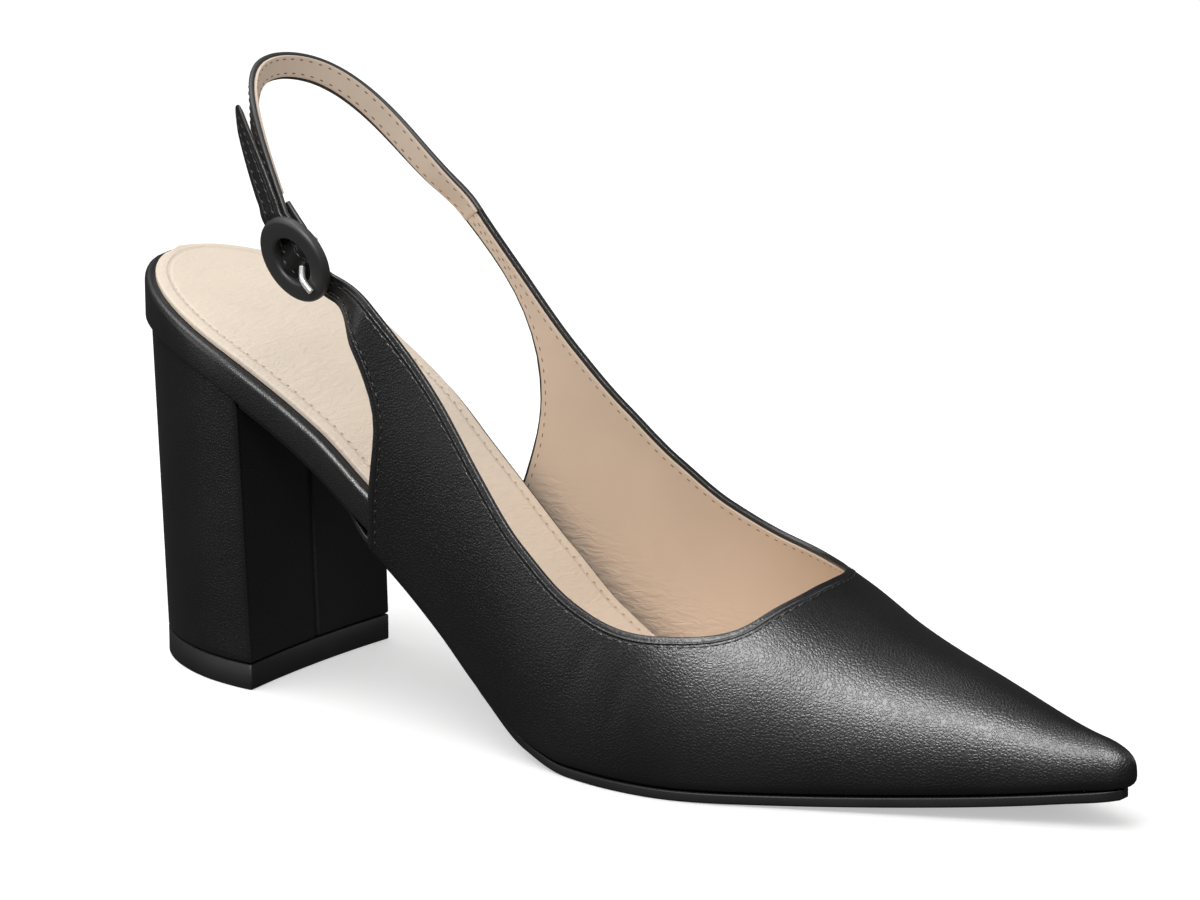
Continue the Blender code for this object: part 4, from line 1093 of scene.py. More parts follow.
def make_upper(sizes, colours):
    """Outer leather with its turned edges."""
    sheet = Sheet()
    for side in (-1, 1):
        rows, walls, grid = side_rows(side)
        start = -(SIDE_RIBS + VAMP_RIBS + 1)
        feather = sheet.add(rows, walls, side > 0)[start:]
        under_rows = []
        for strip, row, wall in zip(turned_edge(grid[start:, 0, 0], side), feather, walls[start:]):
            under_rows.append([sheet.put(p, wall) for p in strip] + [row[0]])
        sheet.join(under_rows, side > 0)
    finish = black_leather(colours.leather)
    far = sizes.leather * np.array(sheet.values)
    points, faces = closed_sheet(sheet.vertices, sheet.faces, 0.0, far, LEATHER_BULGE)
    piece = new_piece("upper_leather", points, faces, finish)
    mark_distance(piece, "edge_distance", edge_lines())
    give_attribute(piece, "crease", crease_values(points))
    place(piece, "upper")


def crease_values(points):
    """Soft valleys along the strokes of the table."""
    values = np.zeros(len(points))
    for first, second, depth in CREASES:
        line = on_last(straight(first, second, 30), -1)
        away = np.linalg.norm(points[:, None, :] - line[None, :, :], axis=2)
        fade = np.sin(np.pi * np.clip((away.argmin(1) + 1) / 31, 0, 1))
        values -= depth * np.exp(-(away.min(1) / CREASE_HALF) ** 2) * fade
    return values


def make_lining(sizes, colours):
    """Lining of both sides, a little short of the folded edges, and of the tab's underside."""
    sheet = Sheet()
    for side in (-1, 1):
        rows, walls, _ = side_rows(side, sizes.lining_inset)
        stop = max(k for k, row in enumerate(rows) if row[0][0] < LINING_FRONT * LENGTH) + 1
        sheet.add(rows[:stop], walls[:stop], side > 0)
    finish = lining_leather(colours.lining)
    shares = np.array(sheet.values)
    near = sizes.leather * shares + LINING_GAP
    tab = shares <= TAB_LEATHER / sizes.leather + 1e-6
    far = np.where(tab, near + TAB_LINING, near + WALL - sizes.leather - 2 * LINING_GAP)
    points, faces = closed_sheet(sheet.vertices, sheet.faces, near, far, LINING_BULGE)
    piece = new_piece("upper_lining", points, faces, finish)
    along = points[:, 0] / LENGTH
    slack = ease(1 - (points[:, 2] - bed(np.clip(along, 0, 1))) / SLACK_HEIGHT) * (points[:, 1] > 0)
    slack *= ease((along - SLACK_FROM[0]) / SLACK_FROM[1]) * ease((SLACK_TO[0] - along) / SLACK_TO[1])
    give_attribute(piece, "slack", slack)
    give_attribute(piece, "toe_share", toe_share(along))
    place(piece)


def strip_sheet(points, sides, width):
    """Rows of a strip and its faces, each point with the number of its row."""
    t = np.linspace(-0.5, 0.5, STRAP_COLUMNS + 1)
    grid = points[:, None, :] + sides[:, None, :] * (t * width)[None, :, None]
    sheet = Sheet()
    sheet.add(grid, range(len(points)), False)
    return sheet, grid


def make_sling(sizes, leather, lining):
    """Sling strap with its lining, folded round the buckle's bar."""
    points, sides, facing = sling_strip()
    flat = len(facing)
    sheet, grid = strip_sheet(points, sides, STRAP_WIDTH)
    past = np.array(sheet.values) - (flat - STRAP_THINS)
    thin = 1 + (FOLD_THICK / STRAP_LEATHER - 1) * np.clip(past / STRAP_THINS, 0, 1)
    solid, faces = closed_sheet(sheet.vertices, sheet.faces, 0.0, STRAP_LEATHER * thin, LEATHER_BULGE)
    piece = new_piece("sling_leather", solid, faces, leather)
    mark_distance(piece, "edge_distance", [finely(grid[:, column], EDGE_POINTS) for column in (0, -1)])
    give_attribute(piece, "crease", np.zeros(len(solid)))
    place(piece, "sling_strap")
    end = flat - STRAP_THINS + 1
    sheet, _ = strip_sheet(points[:end], sides[:end], STRAP_WIDTH - 2 * sizes.strap_lining_inset)
    near = STRAP_LEATHER + LINING_GAP
    solid, faces = closed_sheet(sheet.vertices, sheet.faces, near, STRAP_THICK - LINING_GAP, LINING_BULGE)
    piece = new_piece("sling_lining", solid, faces, lining)
    for name in ("slack", "toe_share"):
        give_attribute(piece, name, np.zeros(len(solid)))
    place(piece)


# footbed, sock, sole and heel

def board(along):
    return BOARD * flowing(BOARD_CHANGE[:, 0], BOARD_CHANGE[:, 1], along)


def stations(start, front, count):
    """Places along a slab, crowded towards its two round ends."""
    share = np.linspace(0, math.pi, count)
    even = np.linspace(0, 1, count)
    mixed = 0.45 * even + 0.55 * (1 - np.cos(share)) / 2
    return start + (front - start) * mixed


def slab(name, alongs, profile, front, finish, across=12, pillow=0.0):
    """Closed piece through outlines, each with its inset and how deep it lies, the lowest first."""
    share = np.linspace(0, 1, across + 1)[None, :, None]
    grids = []
    for inset, below in profile:
        edges = []
        for side in (-1, 1):
            x, y = plan(alongs, side, inset(alongs), front)
            edges.append(np.stack([x, y], axis=-1)[:, None, :])
        flat = edges[0] * (1 - share) + edges[1] * share
        along = flat[..., 0] / LENGTH
        grids.append(np.concatenate([flat, level(along, below(along))[..., None]], axis=-1))
    grids[-1][..., 2] += pillow * (1 - (2 * share[..., 0] - 1) ** 4)
    sheet = Sheet()
    loops = [np.concatenate([g[:, 0], g[-1, 1:-1], g[::-1, -1], g[0, -2:0:-1], g[:1, 0]]) for g in grids]
    sheet.add(loops, [0.0] * len(loops), True)
    sheet.add(grids[0], [0.0] * len(alongs), True)
    sheet.add(grids[-1], [0.0] * len(alongs), False)
    return new_piece(name, sheet.vertices, sheet.faces, finish)


def even(value):
    """A line that stays at one value."""
    return lambda along: value + 0 * along


def moved(line, distance):
    return lambda along: line(along) + distance


def rounded(inset, bottom, top, low_radius, high_radius, steps=5):
    """Profile of a slab from its bottom to its top, with rounded edges."""
    low, high = [], []
    for turn in np.linspace(0, math.pi / 2, steps + 1):
        rising, falling = 1 - math.cos(turn), 1 - math.sin(turn)
        low.append((moved(inset, low_radius * falling), moved(bottom, -low_radius * rising)))
        high.append((moved(inset, high_radius * rising), moved(top, high_radius * falling)))
    return low + high


def rim_line(front, inset, below):
    """Outline of a slab's face, as points."""
    alongs = stations(SEAT_BACK / LENGTH, front, RIM_POINTS)
    line = []
    for side in (-1, 1):
        x, y = plan(alongs, side, inset, front)
        points = np.stack([x, y, level(x / LENGTH, below(x / LENGTH))], axis=-1)
        line.append(points[::-1] if side < 0 else points)
    return np.concatenate(line)


def sock_top(along):
    return -board(along) - GAP - SOCK


def make_footbed(colours):
    inset = WALL + 2 * GAP
    alongs = stations(SEAT_BACK / LENGTH, FOOTBED_FRONT, BOARD_STATIONS)
    finish = plain_leather("footbed_leather", colours.footbed, 0.36, 0.44, 0.0006)
    profile = rounded(even(inset), even(0.0), lambda along: -board(along), BOARD_LOW_ROUND, BOARD_ROUND)
    place(slab("footbed_wrap", alongs, profile, FOOTBED_FRONT, finish), "footbed")


def make_sock(colours):
    inset = WALL + 2 * GAP + SOCK_INSET
    alongs = stations(SEAT_BACK / LENGTH, SOCK_FRONT, BOARD_STATIONS)
    profile = rounded(even(inset), lambda along: -board(along) - GAP / 3, sock_top,
                      SOCK_LOW_ROUND, SOCK_ROUND)
    piece = slab("sock_cover", alongs, profile, SOCK_FRONT, sock_leather(colours.sock), 44,
                 SOCK_PILLOW)
    mark_distance(piece, "edge_distance", [rim_line(SOCK_FRONT, inset, sock_top)])
    points = np.array([v.co for v in piece.data.vertices]) - SHIFT
    give_attribute(piece, "toe_share", toe_share(points[:, 0] / LENGTH))
    place(piece, "sock")


def from_shank(along, back, front):
    """A size that changes from the shank to the forefoot."""
    return back + (front - back) * flowing(SHANK_CHANGE[:, 0], SHANK_CHANGE[:, 1], along)


def make_outsole(finish):
    alongs = SOLE_BACK + (SOLE_FRONT - SOLE_BACK) * np.sin(np.linspace(0, 1, 170) * math.pi / 2)
    alongs = np.sort(np.concatenate([alongs, SOLE_DROP]))

    def top(along):
        return flowing([0.0, *SOLE_DROP, 1.0], [GAP, GAP, STACK - SOLE, STACK - SOLE], along)

    profile = rounded(lambda along: from_shank(along, SHANK_INSET, SOLE_INSET),
                      lambda along: top(along) + from_shank(along, SHANK_SOLE, SOLE), top,
                      SOLE_LOW_ROUND, SOLE_ROUND, 4)
    place(slab("outsole_rubber", alongs, profile, SOLE_FRONT, finish), "outsole")


def heel_outline(share, seam=0.0, count=40):
    """D-shaped loop of the heel: share 0 at the floor, 1 at the seat."""
    inset = WALL + 2 * GAP + HEEL_INSET
    back = SEAT_BACK + inset
    alongs = (SEAT_BACK + np.linspace(0, 1, count) ** HEEL_CROWD * (HEEL_LENGTH - SEAT_BACK)) / LENGTH
    narrow = HEEL_FOOT_WIDTH / (SEAT_WIDTH - 2 * inset)
    length = HEEL_FOOT_LENGTH + (HEEL_LENGTH - back - HEEL_FOOT_LENGTH) * share
    sides = []
    for side in (-1, 1):
        x, y = plan(alongs, side, inset)
        full = (x - x[0]) / (x[-1] - x[0])
        sides.append(np.stack([back + HEEL_RAKE * (1 - share) + full * length,
                               y * (narrow + (1 - narrow) * share)], axis=-1))
    outer, inner = sides
    wide = np.linalg.norm(inner[-1] - outer[-1])
    half, lip = BREAST_SEAM / 2 / wide, BREAST_LIP / wide
    seam_steps = [0.5 - half + lip, 0.5, 0.5 + half - lip]
    steps = np.concatenate([np.linspace(0, 0.5 - half - lip, BREAST_STEPS)[1:], seam_steps,
                            np.linspace(0.5 + half + lip, 1, BREAST_STEPS)[:-1]])
    breast = []
    for t in steps:
        x, y = outer[-1] * (1 - t) + inner[-1] * t
        sunk = seam if abs(t - 0.5) < half else 0.0
        breast.append((x - BREAST_HOLLOW * (1 - (2 * t - 1) ** 2) - sunk, y))
    first = soft_corner(outer[-2], outer[-1], breast[0])
    second = soft_corner(breast[-1], inner[-1], inner[-2])
    return np.array([*outer[:-1], *first, *breast, *second, *inner[-2:0:-1]])


def soft_corner(before, corner, after, radius=HEEL_CORNER, steps=6):
    """Points of a rounded corner."""
    start = corner + unit(before - corner) * radius
    stop = corner + unit(after - corner) * radius
    return [(1 - t) ** 2 * start + 2 * t * (1 - t) * corner + t ** 2 * stop for t in np.linspace(0, 1, steps)]


def drawn_in(loop, distance):
    """A closed loop in plan, moved inwards."""
    run = np.roll(loop, -1, axis=0) - np.roll(loop, 1, axis=0)
    return loop + unit(np.column_stack([-run[:, 1], run[:, 0]])) * distance


def loft(name, loops, finish):
    """Closed piece through loops of the same count, capped at both ends."""
    count = len(loops[0])
    faces = [list(range(count))[::-1]]
    for r in range(len(loops) - 1):
        for k in range(count):
            j = (k + 1) % count
            faces.append([r * count + k, r * count + j, (r + 1) * count + j, (r + 1) * count + k])
    faces.append([(len(loops) - 1) * count + k for k in range(count)])
    return new_piece(name, np.concatenate(loops), faces, finish)


def make_heel(colours, rubber):
    """Covered heel up to the footbed, with the seam down its breast, and the top piece under it."""
    bottom = TOP_PIECE + GAP
    tall = HEEL_HEIGHT * HEEL_TALL
    floor_loop, seat_loop = heel_outline(0.0, BREAST_SEAM_DEPTH), heel_outline(1.0, BREAST_SEAM_DEPTH)
    ceiling = np.full(len(floor_loop), HEEL_HEIGHT)
    for _ in range(6):
        share = (ceiling - bottom) / (tall - bottom)
        x = floor_loop[:, 0] * (1 - share) + seat_loop[:, 0] * share
        ceiling = level(np.clip(x / LENGTH, 0, 1), GAP)
    turns = np.arange(5) / 5
    foot = [(t * HEEL_FOOT_SHARE, HEEL_FOOT_ROUND * (1 - math.sin(t * math.pi / 2))) for t in turns]
    loops = []
    for step, inset in foot + [(step, 0.0) for step in np.linspace(HEEL_FOOT_SHARE, 1, HEEL_RINGS)]:
        height = bottom + (ceiling - bottom) * step
        share = ((height - bottom) / (tall - bottom))[:, None]
        flat = drawn_in(floor_loop * (1 - share) + seat_loop * share, inset)
        loops.append(np.column_stack([flat, height]))
    finish = plain_leather("heel_leather", colours.heel, 0.34, 0.42, 0.0007)
    place(loft("heel_cover", loops, finish), "heel")
    loop = heel_outline(0.0)
    tread = [np.column_stack([drawn_in(loop, inset), np.full(len(loop), height)])
             for inset, height in TREAD_LAYERS]
    place(loft("top_piece_rubber", tread, rubber), "top_piece")


# buckle

def matrix_of(*columns):
    """Matrix that turns the three axes into the first columns and moves by the fourth."""
    matrix = np.eye(4)
    matrix[:3] = np.stack(columns, axis=1)
    return Matrix(matrix.tolist())


def ring_matrix():
    middle, run, across, out = ring_frame()
    return matrix_of(run, across, out, middle + SHIFT)


def ring_piece(name, mesh, finish):
    """Piece from a mesh in the buckle's frame, closed and facing outwards."""
    work = bmesh.new()
    work.from_mesh(mesh)
    bmesh.ops.remove_doubles(work, verts=work.verts, dist=SAME_PLACE)
    bmesh.ops.recalc_face_normals(work, faces=work.faces)
    work.to_mesh(mesh)
    work.free()
    mesh.transform(ring_matrix())
    mesh.name = name
    mesh.shade_smooth()
    mesh.materials.clear()
    mesh.materials.append(finish)
    piece = put_in(name, mesh)
    return piece


def lathe(name, profile, finish, steps=96):
    """Closed ring from a closed profile of radius and height, in the buckle's frame."""
    vertices, faces = [], []
    count = len(profile)
    for k in range(steps):
        turn = math.tau * k / steps
        for radius, height in profile:
            vertices.append((radius * math.cos(turn), radius * math.sin(turn), height))
    for k in range(steps):
        for c in range(count):
            a, b = k * count + c, k * count + (c + 1) % count
            j = (k + 1) % steps * count
            faces.append([a, b, j + (c + 1) % count, j + c])
    mesh = bpy.data.meshes.new(name)
    mesh.from_pydata(vertices, [], faces)
    return ring_piece(name, mesh, finish)


def ring_profile():
    """Flat faces with soft outer edges and a rolled inner edge."""
    half = RING_THICK / 2
    outer, inner = RING_OUTER_ROUND, RING_INNER_ROUND
    rows = []
    for x, z, radius, start in (
            (RING_RADIUS - outer, half - outer, outer, 90),
            (RING_RADIUS - outer, -half + outer, outer, 0),
            (RING_HOLE + inner, -half + inner, inner, -90),
            (RING_HOLE + inner, half - inner, inner, -180)):
        rows.extend(round_points((x, z), radius, np.linspace(start, start - 90, 7)))
    return rows


def wire(name, points, radius, finish):
    """Round wire along points of the buckle's frame, as a closed mesh."""
    path = bpy.data.curves.new(name, "CURVE")
    path.dimensions = "3D"
    path.bevel_depth = radius
    path.bevel_resolution = 5
    path.use_fill_caps = True
    spline = path.splines.new("POLY")
    spline.points.add(len(points) - 1)
    for knot, point in zip(spline.points, points):
        knot.co = (*point, 1.0)
    return ring_piece(name, made_by(put_in(name + "_guide", path)), finish)


def make_buckle(leather, steel):
    ring = lathe("ring_cover", ring_profile(), leather)
    for name, value in (("edge_distance", 20.0), ("crease", 0.0)):
        give_attribute(ring, name, np.full(len(ring.data.vertices), value))
    place(ring, "buckle_ring")
    half = BAR_SPAN / 2
    bend = 2.2 * BAR_RADIUS
    corner = round_points((-half + bend, -BAR_DROP + bend), bend, range(180, 271, 15))
    points = [(0, -half, -RING_THICK / 2 + LEG_SEAT)] + [(0, y, z) for y, z in corner]
    points = points + [(x, -y, z) for x, y, z in reversed(points)]
    place(wire("bar_steel", points, BAR_RADIUS, steel), "buckle_bar")
    radius = BAR_RADIUS + GAP + PRONG_RADIUS
    points = [(x, 0, z) for x, z in round_points((0, -BAR_DROP), radius, range(-190, 91, 10))]
    rest = RING_THICK / 2 + GAP + PRONG_RADIUS
    low = -BAR_DROP + radius
    runs = np.linspace(0.05, 1.0, 24)
    rises = flowing(PRONG_RISE[:, 0], PRONG_RISE[:, 1], runs)
    for run, rise in zip(runs, rises):
        points.append((-run * PRONG_REACH, 0, low + (rest - low) * rise))
    place(wire("prong_steel", points, PRONG_RADIUS * PRONG_LOOK, steel), "buckle_prong")


# stitching

def stitch_tree(finish):
    """Geometry nodes that lay stitches along a line, turned to face as its points do."""
    tree = bpy.data.node_groups.new("stitches", "GeometryNodeTree")
    for name, way, kind in (
            ("Line", "INPUT", "Geometry"), ("Pitch", "INPUT", "Float"), ("Stitch Length", "INPUT", "Float"),
            ("Thread Width", "INPUT", "Float"), ("Stitches", "OUTPUT", "Geometry")):
        tree.interface.new_socket(name, in_out=way, socket_type="NodeSocket" + kind)
    entry = add_node(tree, "NodeGroupInput").outputs
    made = laid_stitches(tree, one_stitch(tree, entry), entry)
    soft = add_node(tree, "GeometryNodeSetShadeSmooth", {}, {"Geometry": made})
    dyed = add_node(tree, "GeometryNodeSetMaterial", {}, {"Geometry": soft.outputs[0], "Material": finish})
    add_node(tree, "NodeGroupOutput", {}, {"Stitches": dyed.outputs[0]})
    return tree


def one_stitch(tree, entry):
    """A long ball of the thread's width."""
    halves = []
    for name in ("Stitch Length", "Thread Width"):
        made = add_node(tree, "ShaderNodeMath", {"operation": "MULTIPLY"}, {0: entry[name], 1: 0.5})
        halves.append(made.outputs[0])
    half, thick = halves
    size = add_node(tree, "ShaderNodeCombineXYZ", {}, {"X": half, "Y": thick, "Z": thick})
    ball = add_node(tree, "GeometryNodeMeshUVSphere", {}, {"Segments": 8, "Rings": 6, "Radius": 1.0})
    return add_node(tree, "GeometryNodeTransform", {}, {
        "Geometry": ball.outputs["Mesh"], "Scale": size.outputs[0]}).outputs[0]


def laid_stitches(tree, stitch, entry):
    """The stitch at even steps of the line."""
    line = add_node(tree, "GeometryNodeMeshToCurve", {}, {"Mesh": entry["Line"]})
    steps = add_node(tree, "GeometryNodeResampleCurve", {"mode": "LENGTH"}, {
        "Curve": line.outputs["Curve"], "Length": entry["Pitch"]})
    tangent = add_node(tree, "GeometryNodeInputTangent")
    out = add_node(tree, "GeometryNodeInputNamedAttribute", {"data_type": "FLOAT_VECTOR"}, {"Name": "facing"})
    along = add_node(tree, "FunctionNodeAlignRotationToVector", {"axis": "Z"}, {"Vector": out.outputs[0]})
    turned = add_node(tree, "FunctionNodeAlignRotationToVector", {"axis": "X", "pivot_axis": "Z"}, {
        "Rotation": along.outputs[0], "Vector": tangent.outputs[0]})
    laid = add_node(tree, "GeometryNodeInstanceOnPoints", {}, {
        "Points": steps.outputs[0], "Instance": stitch, "Rotation": turned.outputs[0]})
    return add_node(tree, "GeometryNodeRealizeInstances", {}, {"Geometry": laid.outputs[0]}).outputs[0]


def sew(name, lines, finish, pitch, length, width):
    """Stitches along lines of points and their facing directions."""
    vertices, edges, facings = [], [], []
    for points, facing in lines:
        start = len(vertices)
        vertices.extend((np.asarray(points) + SHIFT).tolist())
        facings.extend(np.asarray(facing).tolist())
        edges.extend((start + k, start + k + 1) for k in range(len(points) - 1))
    mesh = bpy.data.meshes.new(name + "_line")
    mesh.from_pydata(vertices, edges, [])
    layer = mesh.attributes.new("facing", "FLOAT_VECTOR", "POINT")
    layer.data.foreach_set("vector", np.asarray(facings, np.float32).ravel())
    guide = put_in(name + "_line", mesh)
    change = guide.modifiers.new("stitches", "NODES")
    change.node_group = stitch_tree(finish)
    values = {"Pitch": pitch, "Stitch Length": length, "Thread Width": width}
    for socket in change.node_group.interface.items_tree:
        if socket.name in values:
            change[socket.identifier] = values[socket.name]
    made = made_by(guide)
    made.name = name
    piece = put_in(name, made)
    place(piece)


def even_line(points, facing, step=0.0004):
    """The same line in short even steps."""
    run = running(points)
    at = np.arange(0, run[-1], step)
    return read_off(at, run, points), unit(read_off(at, run, facing))


def edge_seams(side, inset):
    """Seams along the topline and the rear edge of one side: points and the way out of the leather."""
    seams = []
    for rear, (rows, start) in zip((False, True), kept_edges(side)):
        fine = offset_line(spread(rows, np.linspace(start, 1, 160), side), side, inset, rear)
        point, _, _, out = slopes(fine, side)
        seams.append((point, out))
    return seams


def tab_seam(inset, upper_edge):
    """Seam along one edge of the tab, from the tip to the quarter."""
    rows, _, grid = side_rows(-1)
    rows = rows[:TAB_ROWS + BRIDGE_ROWS + 1]
    _, _, facing = tab_strip()
    points, out = [], []
    _, _, _, quarter_out = slopes(grid[TAPER_RIBS, COLUMNS // 2][None, :], -1)
    for k, row in enumerate(rows):
        first, second = (row[-1], row[0]) if upper_edge else (row[0], row[-1])
        wide = np.linalg.norm(second - first)
        points.append(first + (second - first) * min(inset / wide, 0.5))
        share = np.clip((k - TAB_ROWS + 1) / (BRIDGE_ROWS + 1), 0, 1)
        out.append(facing[min(k, len(facing) - 1)] * (1 - share) + quarter_out[0] * share)
    keep = [k for k, row in enumerate(rows) if np.linalg.norm(row[0] - row[-1]) > 2.6 * inset]
    return np.array(points)[keep], unit(np.array(out))[keep]


def strap_seams(inset):
    """Seams along both edges of the sling strap."""
    points, sides, facing = sling_strip()
    flat = slice(STRAP_SEAM_START, len(facing) + STRAP_SEAM_STOP)
    return [(points[flat] + sides[flat] * hand * (STRAP_WIDTH / 2 - inset), facing[flat]) for hand in (-1, 1)]


def cut(seam, *limits):
    """Part of a seam, its limits given as for a slice."""
    return tuple(column[slice(*limits)] for column in seam)


def joined(*seams):
    """One seam from several."""
    return tuple(np.concatenate(column) for column in zip(*seams))


def laid_down(seams, depth, hand=1):
    """Seams in short even steps, at a depth below the outer face: hand is -1 for the inner side."""
    lines = []
    for seam in seams:
        points, out = even_line(*seam)
        lines.append((points - out * depth, out * hand))
    return lines


def make_stitches(sizes, colours):
    """Seams of the leather, of the lining behind it and of the sock."""
    inset, pitch, length, width = sizes.stitch_inset, sizes.stitch_pitch, sizes.stitch_length, sizes.thread
    outer_top, outer_rear = edge_seams(-1, inset)
    inner_top, inner_rear = edge_seams(1, inset)
    strap = strap_seams(sizes.strap_stitch_inset)
    top = joined(tab_seam(inset, True), cut(outer_top, 2, None), cut(inner_top, -2, 1, -1))
    rear = joined(tab_seam(inset, False), cut(outer_rear, 2, None))
    seams = laid_down([top, rear, inner_rear, *strap], THREAD_SUNK * width)
    sew("leather_stitches", seams, thread("black_thread", colours.thread), pitch,
        length, width)
    sunk = BOBBIN_SUNK * width
    upper = [cut(outer_top, 2, None), cut(inner_top, None, -2), outer_rear, inner_rear]
    seams = laid_down(upper, WALL - sunk, -1)
    seams += laid_down([cut(seam, None, -8) for seam in strap], STRAP_THICK - sunk, -1)
    sew("lining_stitches", seams, thread("bobbin_thread", colours.bobbin), pitch,
        BOBBIN_LENGTH * length, BOBBIN_WIDTH * width)
    sock_inset = WALL + 2 * GAP + SOCK_INSET + sizes.sock_stitch_inset
    line = rim_line(SOCK_FRONT - SOCK_SEAM_SHORT, sock_inset, sock_top)
    seams = laid_down([(line, np.tile([0.0, 0.0, 1.0], (len(line), 1)))], 0.0)
    sew("sock_stitches", seams, thread("sock_thread", colours.sock_thread), pitch, length,
        BOBBIN_WIDTH * width)


# stage

def area_light(name, place_at, size, power):
    light = bpy.data.lights.new(name, "AREA")
    light.shape = "RECTANGLE"
    light.size, light.size_y = size
    light.energy = power
    lamp = put_in(name, light)
    lamp.location = place_at
    lamp.rotation_euler = (Vector(LIT_POINT) - Vector(place_at)).to_track_quat("-Z", "Y").to_euler()
    return lamp


def make_camera():
    azimuth, elevation, roll = (math.radians(a) for a in (CAMERA_AZIMUTH, CAMERA_ELEVATION, CAMERA_ROLL))
    back = np.array([math.sin(azimuth) * math.cos(elevation), -math.cos(azimuth) * math.cos(elevation),
                     math.sin(elevation)])
    right = np.array([math.cos(azimuth), math.sin(azimuth), 0.0])
    up = np.cross(back, right)
    turned = math.cos(roll) * right + math.sin(roll) * up
    up = -math.sin(roll) * right + math.cos(roll) * up
    place_at = np.array(CAMERA_TARGET) + SHIFT + CAMERA_DISTANCE * back
    lens = bpy.data.cameras.new("camera")
    lens.sensor_width = SENSOR_WIDTH
    lens.lens = CAMERA_LENS
    lens.clip_start, lens.clip_end = CAMERA_CLIP
    camera = put_in("camera", lens)
    camera.matrix_world = matrix_of(turned, up, back, place_at)
    bpy.context.scene.camera = camera


def make_world(look):
    """White for the camera, soft light for the shoe and near dark in its reflections."""
    world = bpy.data.worlds.new("studio")
    bpy.context.scene.world = world
    world.use_nodes = True
    tree = world.node_tree
    rays = add_node(tree, "ShaderNodeLightPath")
    below = tree.nodes["Background"]
    feed(tree, below.inputs["Color"], (1.0, 0.99, 0.98))
    feed(tree, below.inputs["Strength"], look.fill)
    for ray, strength in (("Is Glossy Ray", look.gloss), ("Is Camera Ray", WHITE_BEHIND)):
        other = add_node(tree, "ShaderNodeBackground", {}, {"Color": (1.0, 1.0, 1.0), "Strength": strength})
        below = add_node(tree, "ShaderNodeMixShader", {}, {
            "Fac": rays.outputs[ray], 1: below.outputs[0], 2: other.outputs[0]})
    feed(tree, tree.nodes["World Output"].inputs["Surface"], below.outputs[0])


def make_floor(look):
    mesh = bpy.data.meshes.new("floor")
    corners = [(x * FLOOR_HALF, y * FLOOR_HALF, 0) for x, y in ((-1, -1), (1, -1), (1, 1), (-1, 1))]
    mesh.from_pydata(corners, [], [(0, 1, 2, 3)])
    finish = Finish("floor_white")
    cloud = finish.noise(3.0, 2.0)
    base = finish.clouded(cloud.ramp(0.3, 0.7), look.floor, 0.995, 1.0)
    mesh.materials.append(finish.set(Base_Color=base, Roughness=0.8, Specular_IOR_Level=0.1,
                                     Emission_Color=(1.0, 1.0, 1.0), Emission_Strength=look.glow))
    floor = put_in("floor", mesh)
    floor.visible_glossy = False
    floor.visible_diffuse = False


def make_lights(look):
    """Soft overhead light, and softboxes that only show in the leather."""
    area_light(*OVERHEAD, look.overhead).visible_glossy = False
    for name, place_at, size in SOFTBOXES:
        area_light(name + "_softbox", place_at, size, getattr(look, name)).visible_diffuse = False


# add-on

def metres(name, description, default):
    return FloatProperty(name=name, description=description, default=default, min=0.0, unit="LENGTH",
                         precision=5)


def colour(name, description, default):
    return FloatVectorProperty(name=name, description=description, default=default, size=3, subtype="COLOR",
                               min=0.0, max=1.0)


class PumpSizes(bpy.types.PropertyGroup):
    """Sizes that a maker would change"""
    leather: metres("Leather", "Thickness of the outer leather", 0.0011)
    lining_inset: metres("Lining inset", "Folded leather edge that shows above the lining", 0.0009)
    strap_lining_inset: metres("Strap lining inset", "Leather edge beside the strap's lining", 0.00045)
    stitch_inset: metres("Stitch inset", "Seam from the leather's edge", 0.0019)
    strap_stitch_inset: metres("Strap stitch inset", "Seam from the strap's edge", 0.0011)
    sock_stitch_inset: metres("Sock stitch inset", "Seam from the sock's edge", 0.0030)
    stitch_pitch: metres("Stitch pitch", "From one stitch to the next", 0.0023)
    stitch_length: metres("Stitch length", "Thread that shows between two holes", 0.0017)
    thread: metres("Thread", "Width of the thread", 0.00045)


class PumpColours(bpy.types.PropertyGroup):
    """Colours of the leathers, the rubber and the threads"""
    leather: colour("Leather", "Outer leather", (0.0065, 0.0065, 0.0072))
    footbed: colour("Footbed", "Leather round the footbed", (0.0075, 0.0075, 0.008))
    heel: colour("Heel", "Leather of the heel", (0.006, 0.006, 0.0065))
    lining: colour("Lining", "Lining leather", (0.84, 0.68, 0.54))
    sock: colour("Sock", "Sock leather", (0.93, 0.80, 0.66))
    rubber: colour("Rubber", "Outsole and top piece", (0.008, 0.008, 0.008))
    thread: colour("Thread", "Thread on the leather", (0.0025, 0.0025, 0.003))
    bobbin: colour("Bobbin thread", "Thread on the lining", (0.17, 0.13, 0.10))
    sock_thread: colour("Sock thread", "Thread on the sock", (0.58, 0.45, 0.33))


def amount(name, description, default, subtype="NONE"):
    return FloatProperty(name=name, description=description, default=default, min=0.0, subtype=subtype)


def power(name, description, default):
    return amount(name, description, default, "POWER")


class PumpStage(bpy.types.PropertyGroup):
    """Light and floor"""
    fill: amount("Fill", "Light from all round", 0.42)
    gloss: amount("Gloss", "Surroundings that the leather reflects", 0.06)
    glow: amount("Glow", "How much the floor lights itself", 0.45)
    overhead: power("Overhead", "Soft light from above, on the pale leathers and the floor", 16.0)
    vamp: power("Vamp softbox", "Softbox that shows on the vamp", 24.0)
    ridge: power("Ridge softbox", "Softbox that shows along the top of the toe", 8.0)
    side: power("Side softbox", "Softbox that shows on the heel", 5.0)
    far: power("Far softbox", "Softbox behind the shoe, for its edges", 5.0)
    floor: colour("Floor", "Colour of the floor", (0.85, 0.85, 0.85))


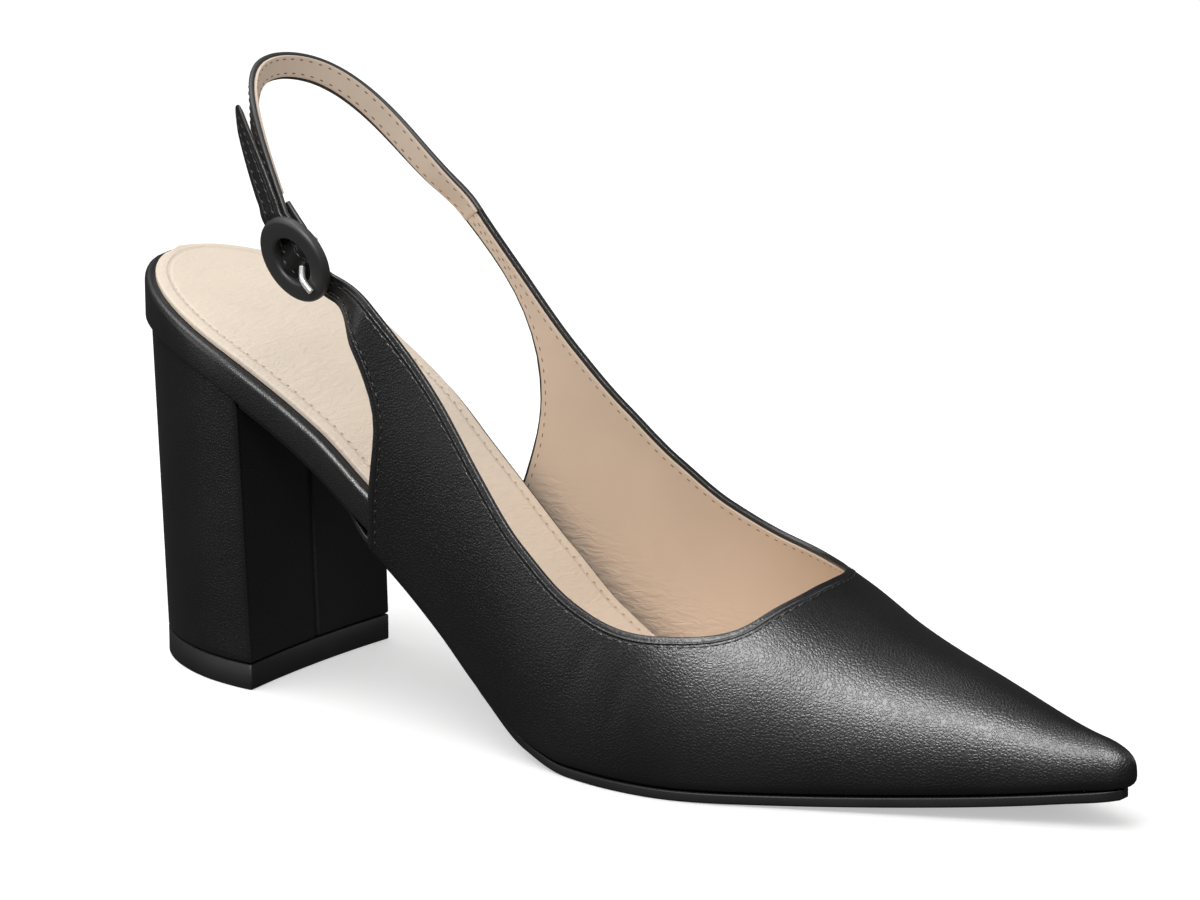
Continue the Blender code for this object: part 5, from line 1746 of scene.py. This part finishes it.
class PumpOperator:
    bl_options = {"REGISTER", "UNDO"}

    @property
    def sizes(self):
        return bpy.context.scene.pump_sizes

    @property
    def colours(self):
        return bpy.context.scene.pump_colours


class PUMP_OT_upper(PumpOperator, bpy.types.Operator):
    """Builds the leather of the upper and its lining"""
    bl_idname = "pump.upper"
    bl_label = "Upper"

    def execute(self, context):
        make_upper(self.sizes, self.colours)
        make_lining(self.sizes, self.colours)
        return {"FINISHED"}


class PUMP_OT_sling(PumpOperator, bpy.types.Operator):
    """Builds the strap round the heel with its lining"""
    bl_idname = "pump.sling"
    bl_label = "Sling strap"

    def execute(self, context):
        make_sling(self.sizes, bpy.data.materials["black_leather"], bpy.data.materials["lining_leather"])
        return {"FINISHED"}


class PUMP_OT_buckle(PumpOperator, bpy.types.Operator):
    """Builds the covered ring, its bar and its prong"""
    bl_idname = "pump.buckle"
    bl_label = "Buckle"

    def execute(self, context):
        make_buckle(bpy.data.materials["black_leather"], bright_steel())
        return {"FINISHED"}


class PUMP_OT_inside(PumpOperator, bpy.types.Operator):
    """Builds the wrapped footbed and the sock on it"""
    bl_idname = "pump.inside"
    bl_label = "Footbed and sock"

    def execute(self, context):
        make_footbed(self.colours)
        make_sock(self.colours)
        return {"FINISHED"}


class PUMP_OT_bottom(PumpOperator, bpy.types.Operator):
    """Builds the outsole, the covered heel and its top piece"""
    bl_idname = "pump.bottom"
    bl_label = "Sole and heel"

    def execute(self, context):
        rubber = black_rubber(self.colours.rubber)
        make_outsole(rubber)
        make_heel(self.colours, rubber)
        return {"FINISHED"}


class PUMP_OT_stitches(PumpOperator, bpy.types.Operator):
    """Sews the seams of the leather, the lining and the sock"""
    bl_idname = "pump.stitches"
    bl_label = "Stitching"

    def execute(self, context):
        make_stitches(self.sizes, self.colours)
        return {"FINISHED"}


class PUMP_OT_stage(PumpOperator, bpy.types.Operator):
    """Sets the floor, the light and the camera"""
    bl_idname = "pump.stage"
    bl_label = "Stage"

    def execute(self, context):
        look = context.scene.pump_stage
        make_floor(look)
        make_world(look)
        make_lights(look)
        make_camera()
        context.scene.view_settings.view_transform = "Standard"
        return {"FINISHED"}


STEPS = (PUMP_OT_upper, PUMP_OT_sling, PUMP_OT_buckle, PUMP_OT_inside, PUMP_OT_bottom, PUMP_OT_stitches,
         PUMP_OT_stage)


class PUMP_PT_panel(bpy.types.Panel):
    """Lists the pump's pieces"""
    bl_idname = "PUMP_PT_panel"
    bl_label = "Slingback pump"
    bl_space_type = "VIEW_3D"
    bl_region_type = "UI"
    bl_category = "Pump"

    def draw(self, context):
        layout = self.layout
        for group in (context.scene.pump_sizes, context.scene.pump_colours, context.scene.pump_stage):
            box = layout.box()
            for name in group.bl_rna.properties.keys():
                if name not in ("rna_type", "name"):
                    box.prop(group, name)
        for step in STEPS:
            layout.operator(step.bl_idname)


GROUPS = {"pump_sizes": PumpSizes, "pump_colours": PumpColours, "pump_stage": PumpStage}
CLASSES = (*GROUPS.values(), *STEPS, PUMP_PT_panel)


def register():
    for item in CLASSES:
        bpy.utils.register_class(item)
    for name, group in GROUPS.items():
        setattr(bpy.types.Scene, name, PointerProperty(type=group))


def unregister():
    for name in GROUPS:
        delattr(bpy.types.Scene, name)
    for item in reversed(CLASSES):
        bpy.utils.unregister_class(item)


def main():
    register()
    bpy.ops.pump.upper()
    bpy.ops.pump.sling()
    bpy.ops.pump.buckle()
    bpy.ops.pump.inside()
    bpy.ops.pump.bottom()
    bpy.ops.pump.stitches()
    bpy.ops.pump.stage()


if __name__ == "__main__":
    main()
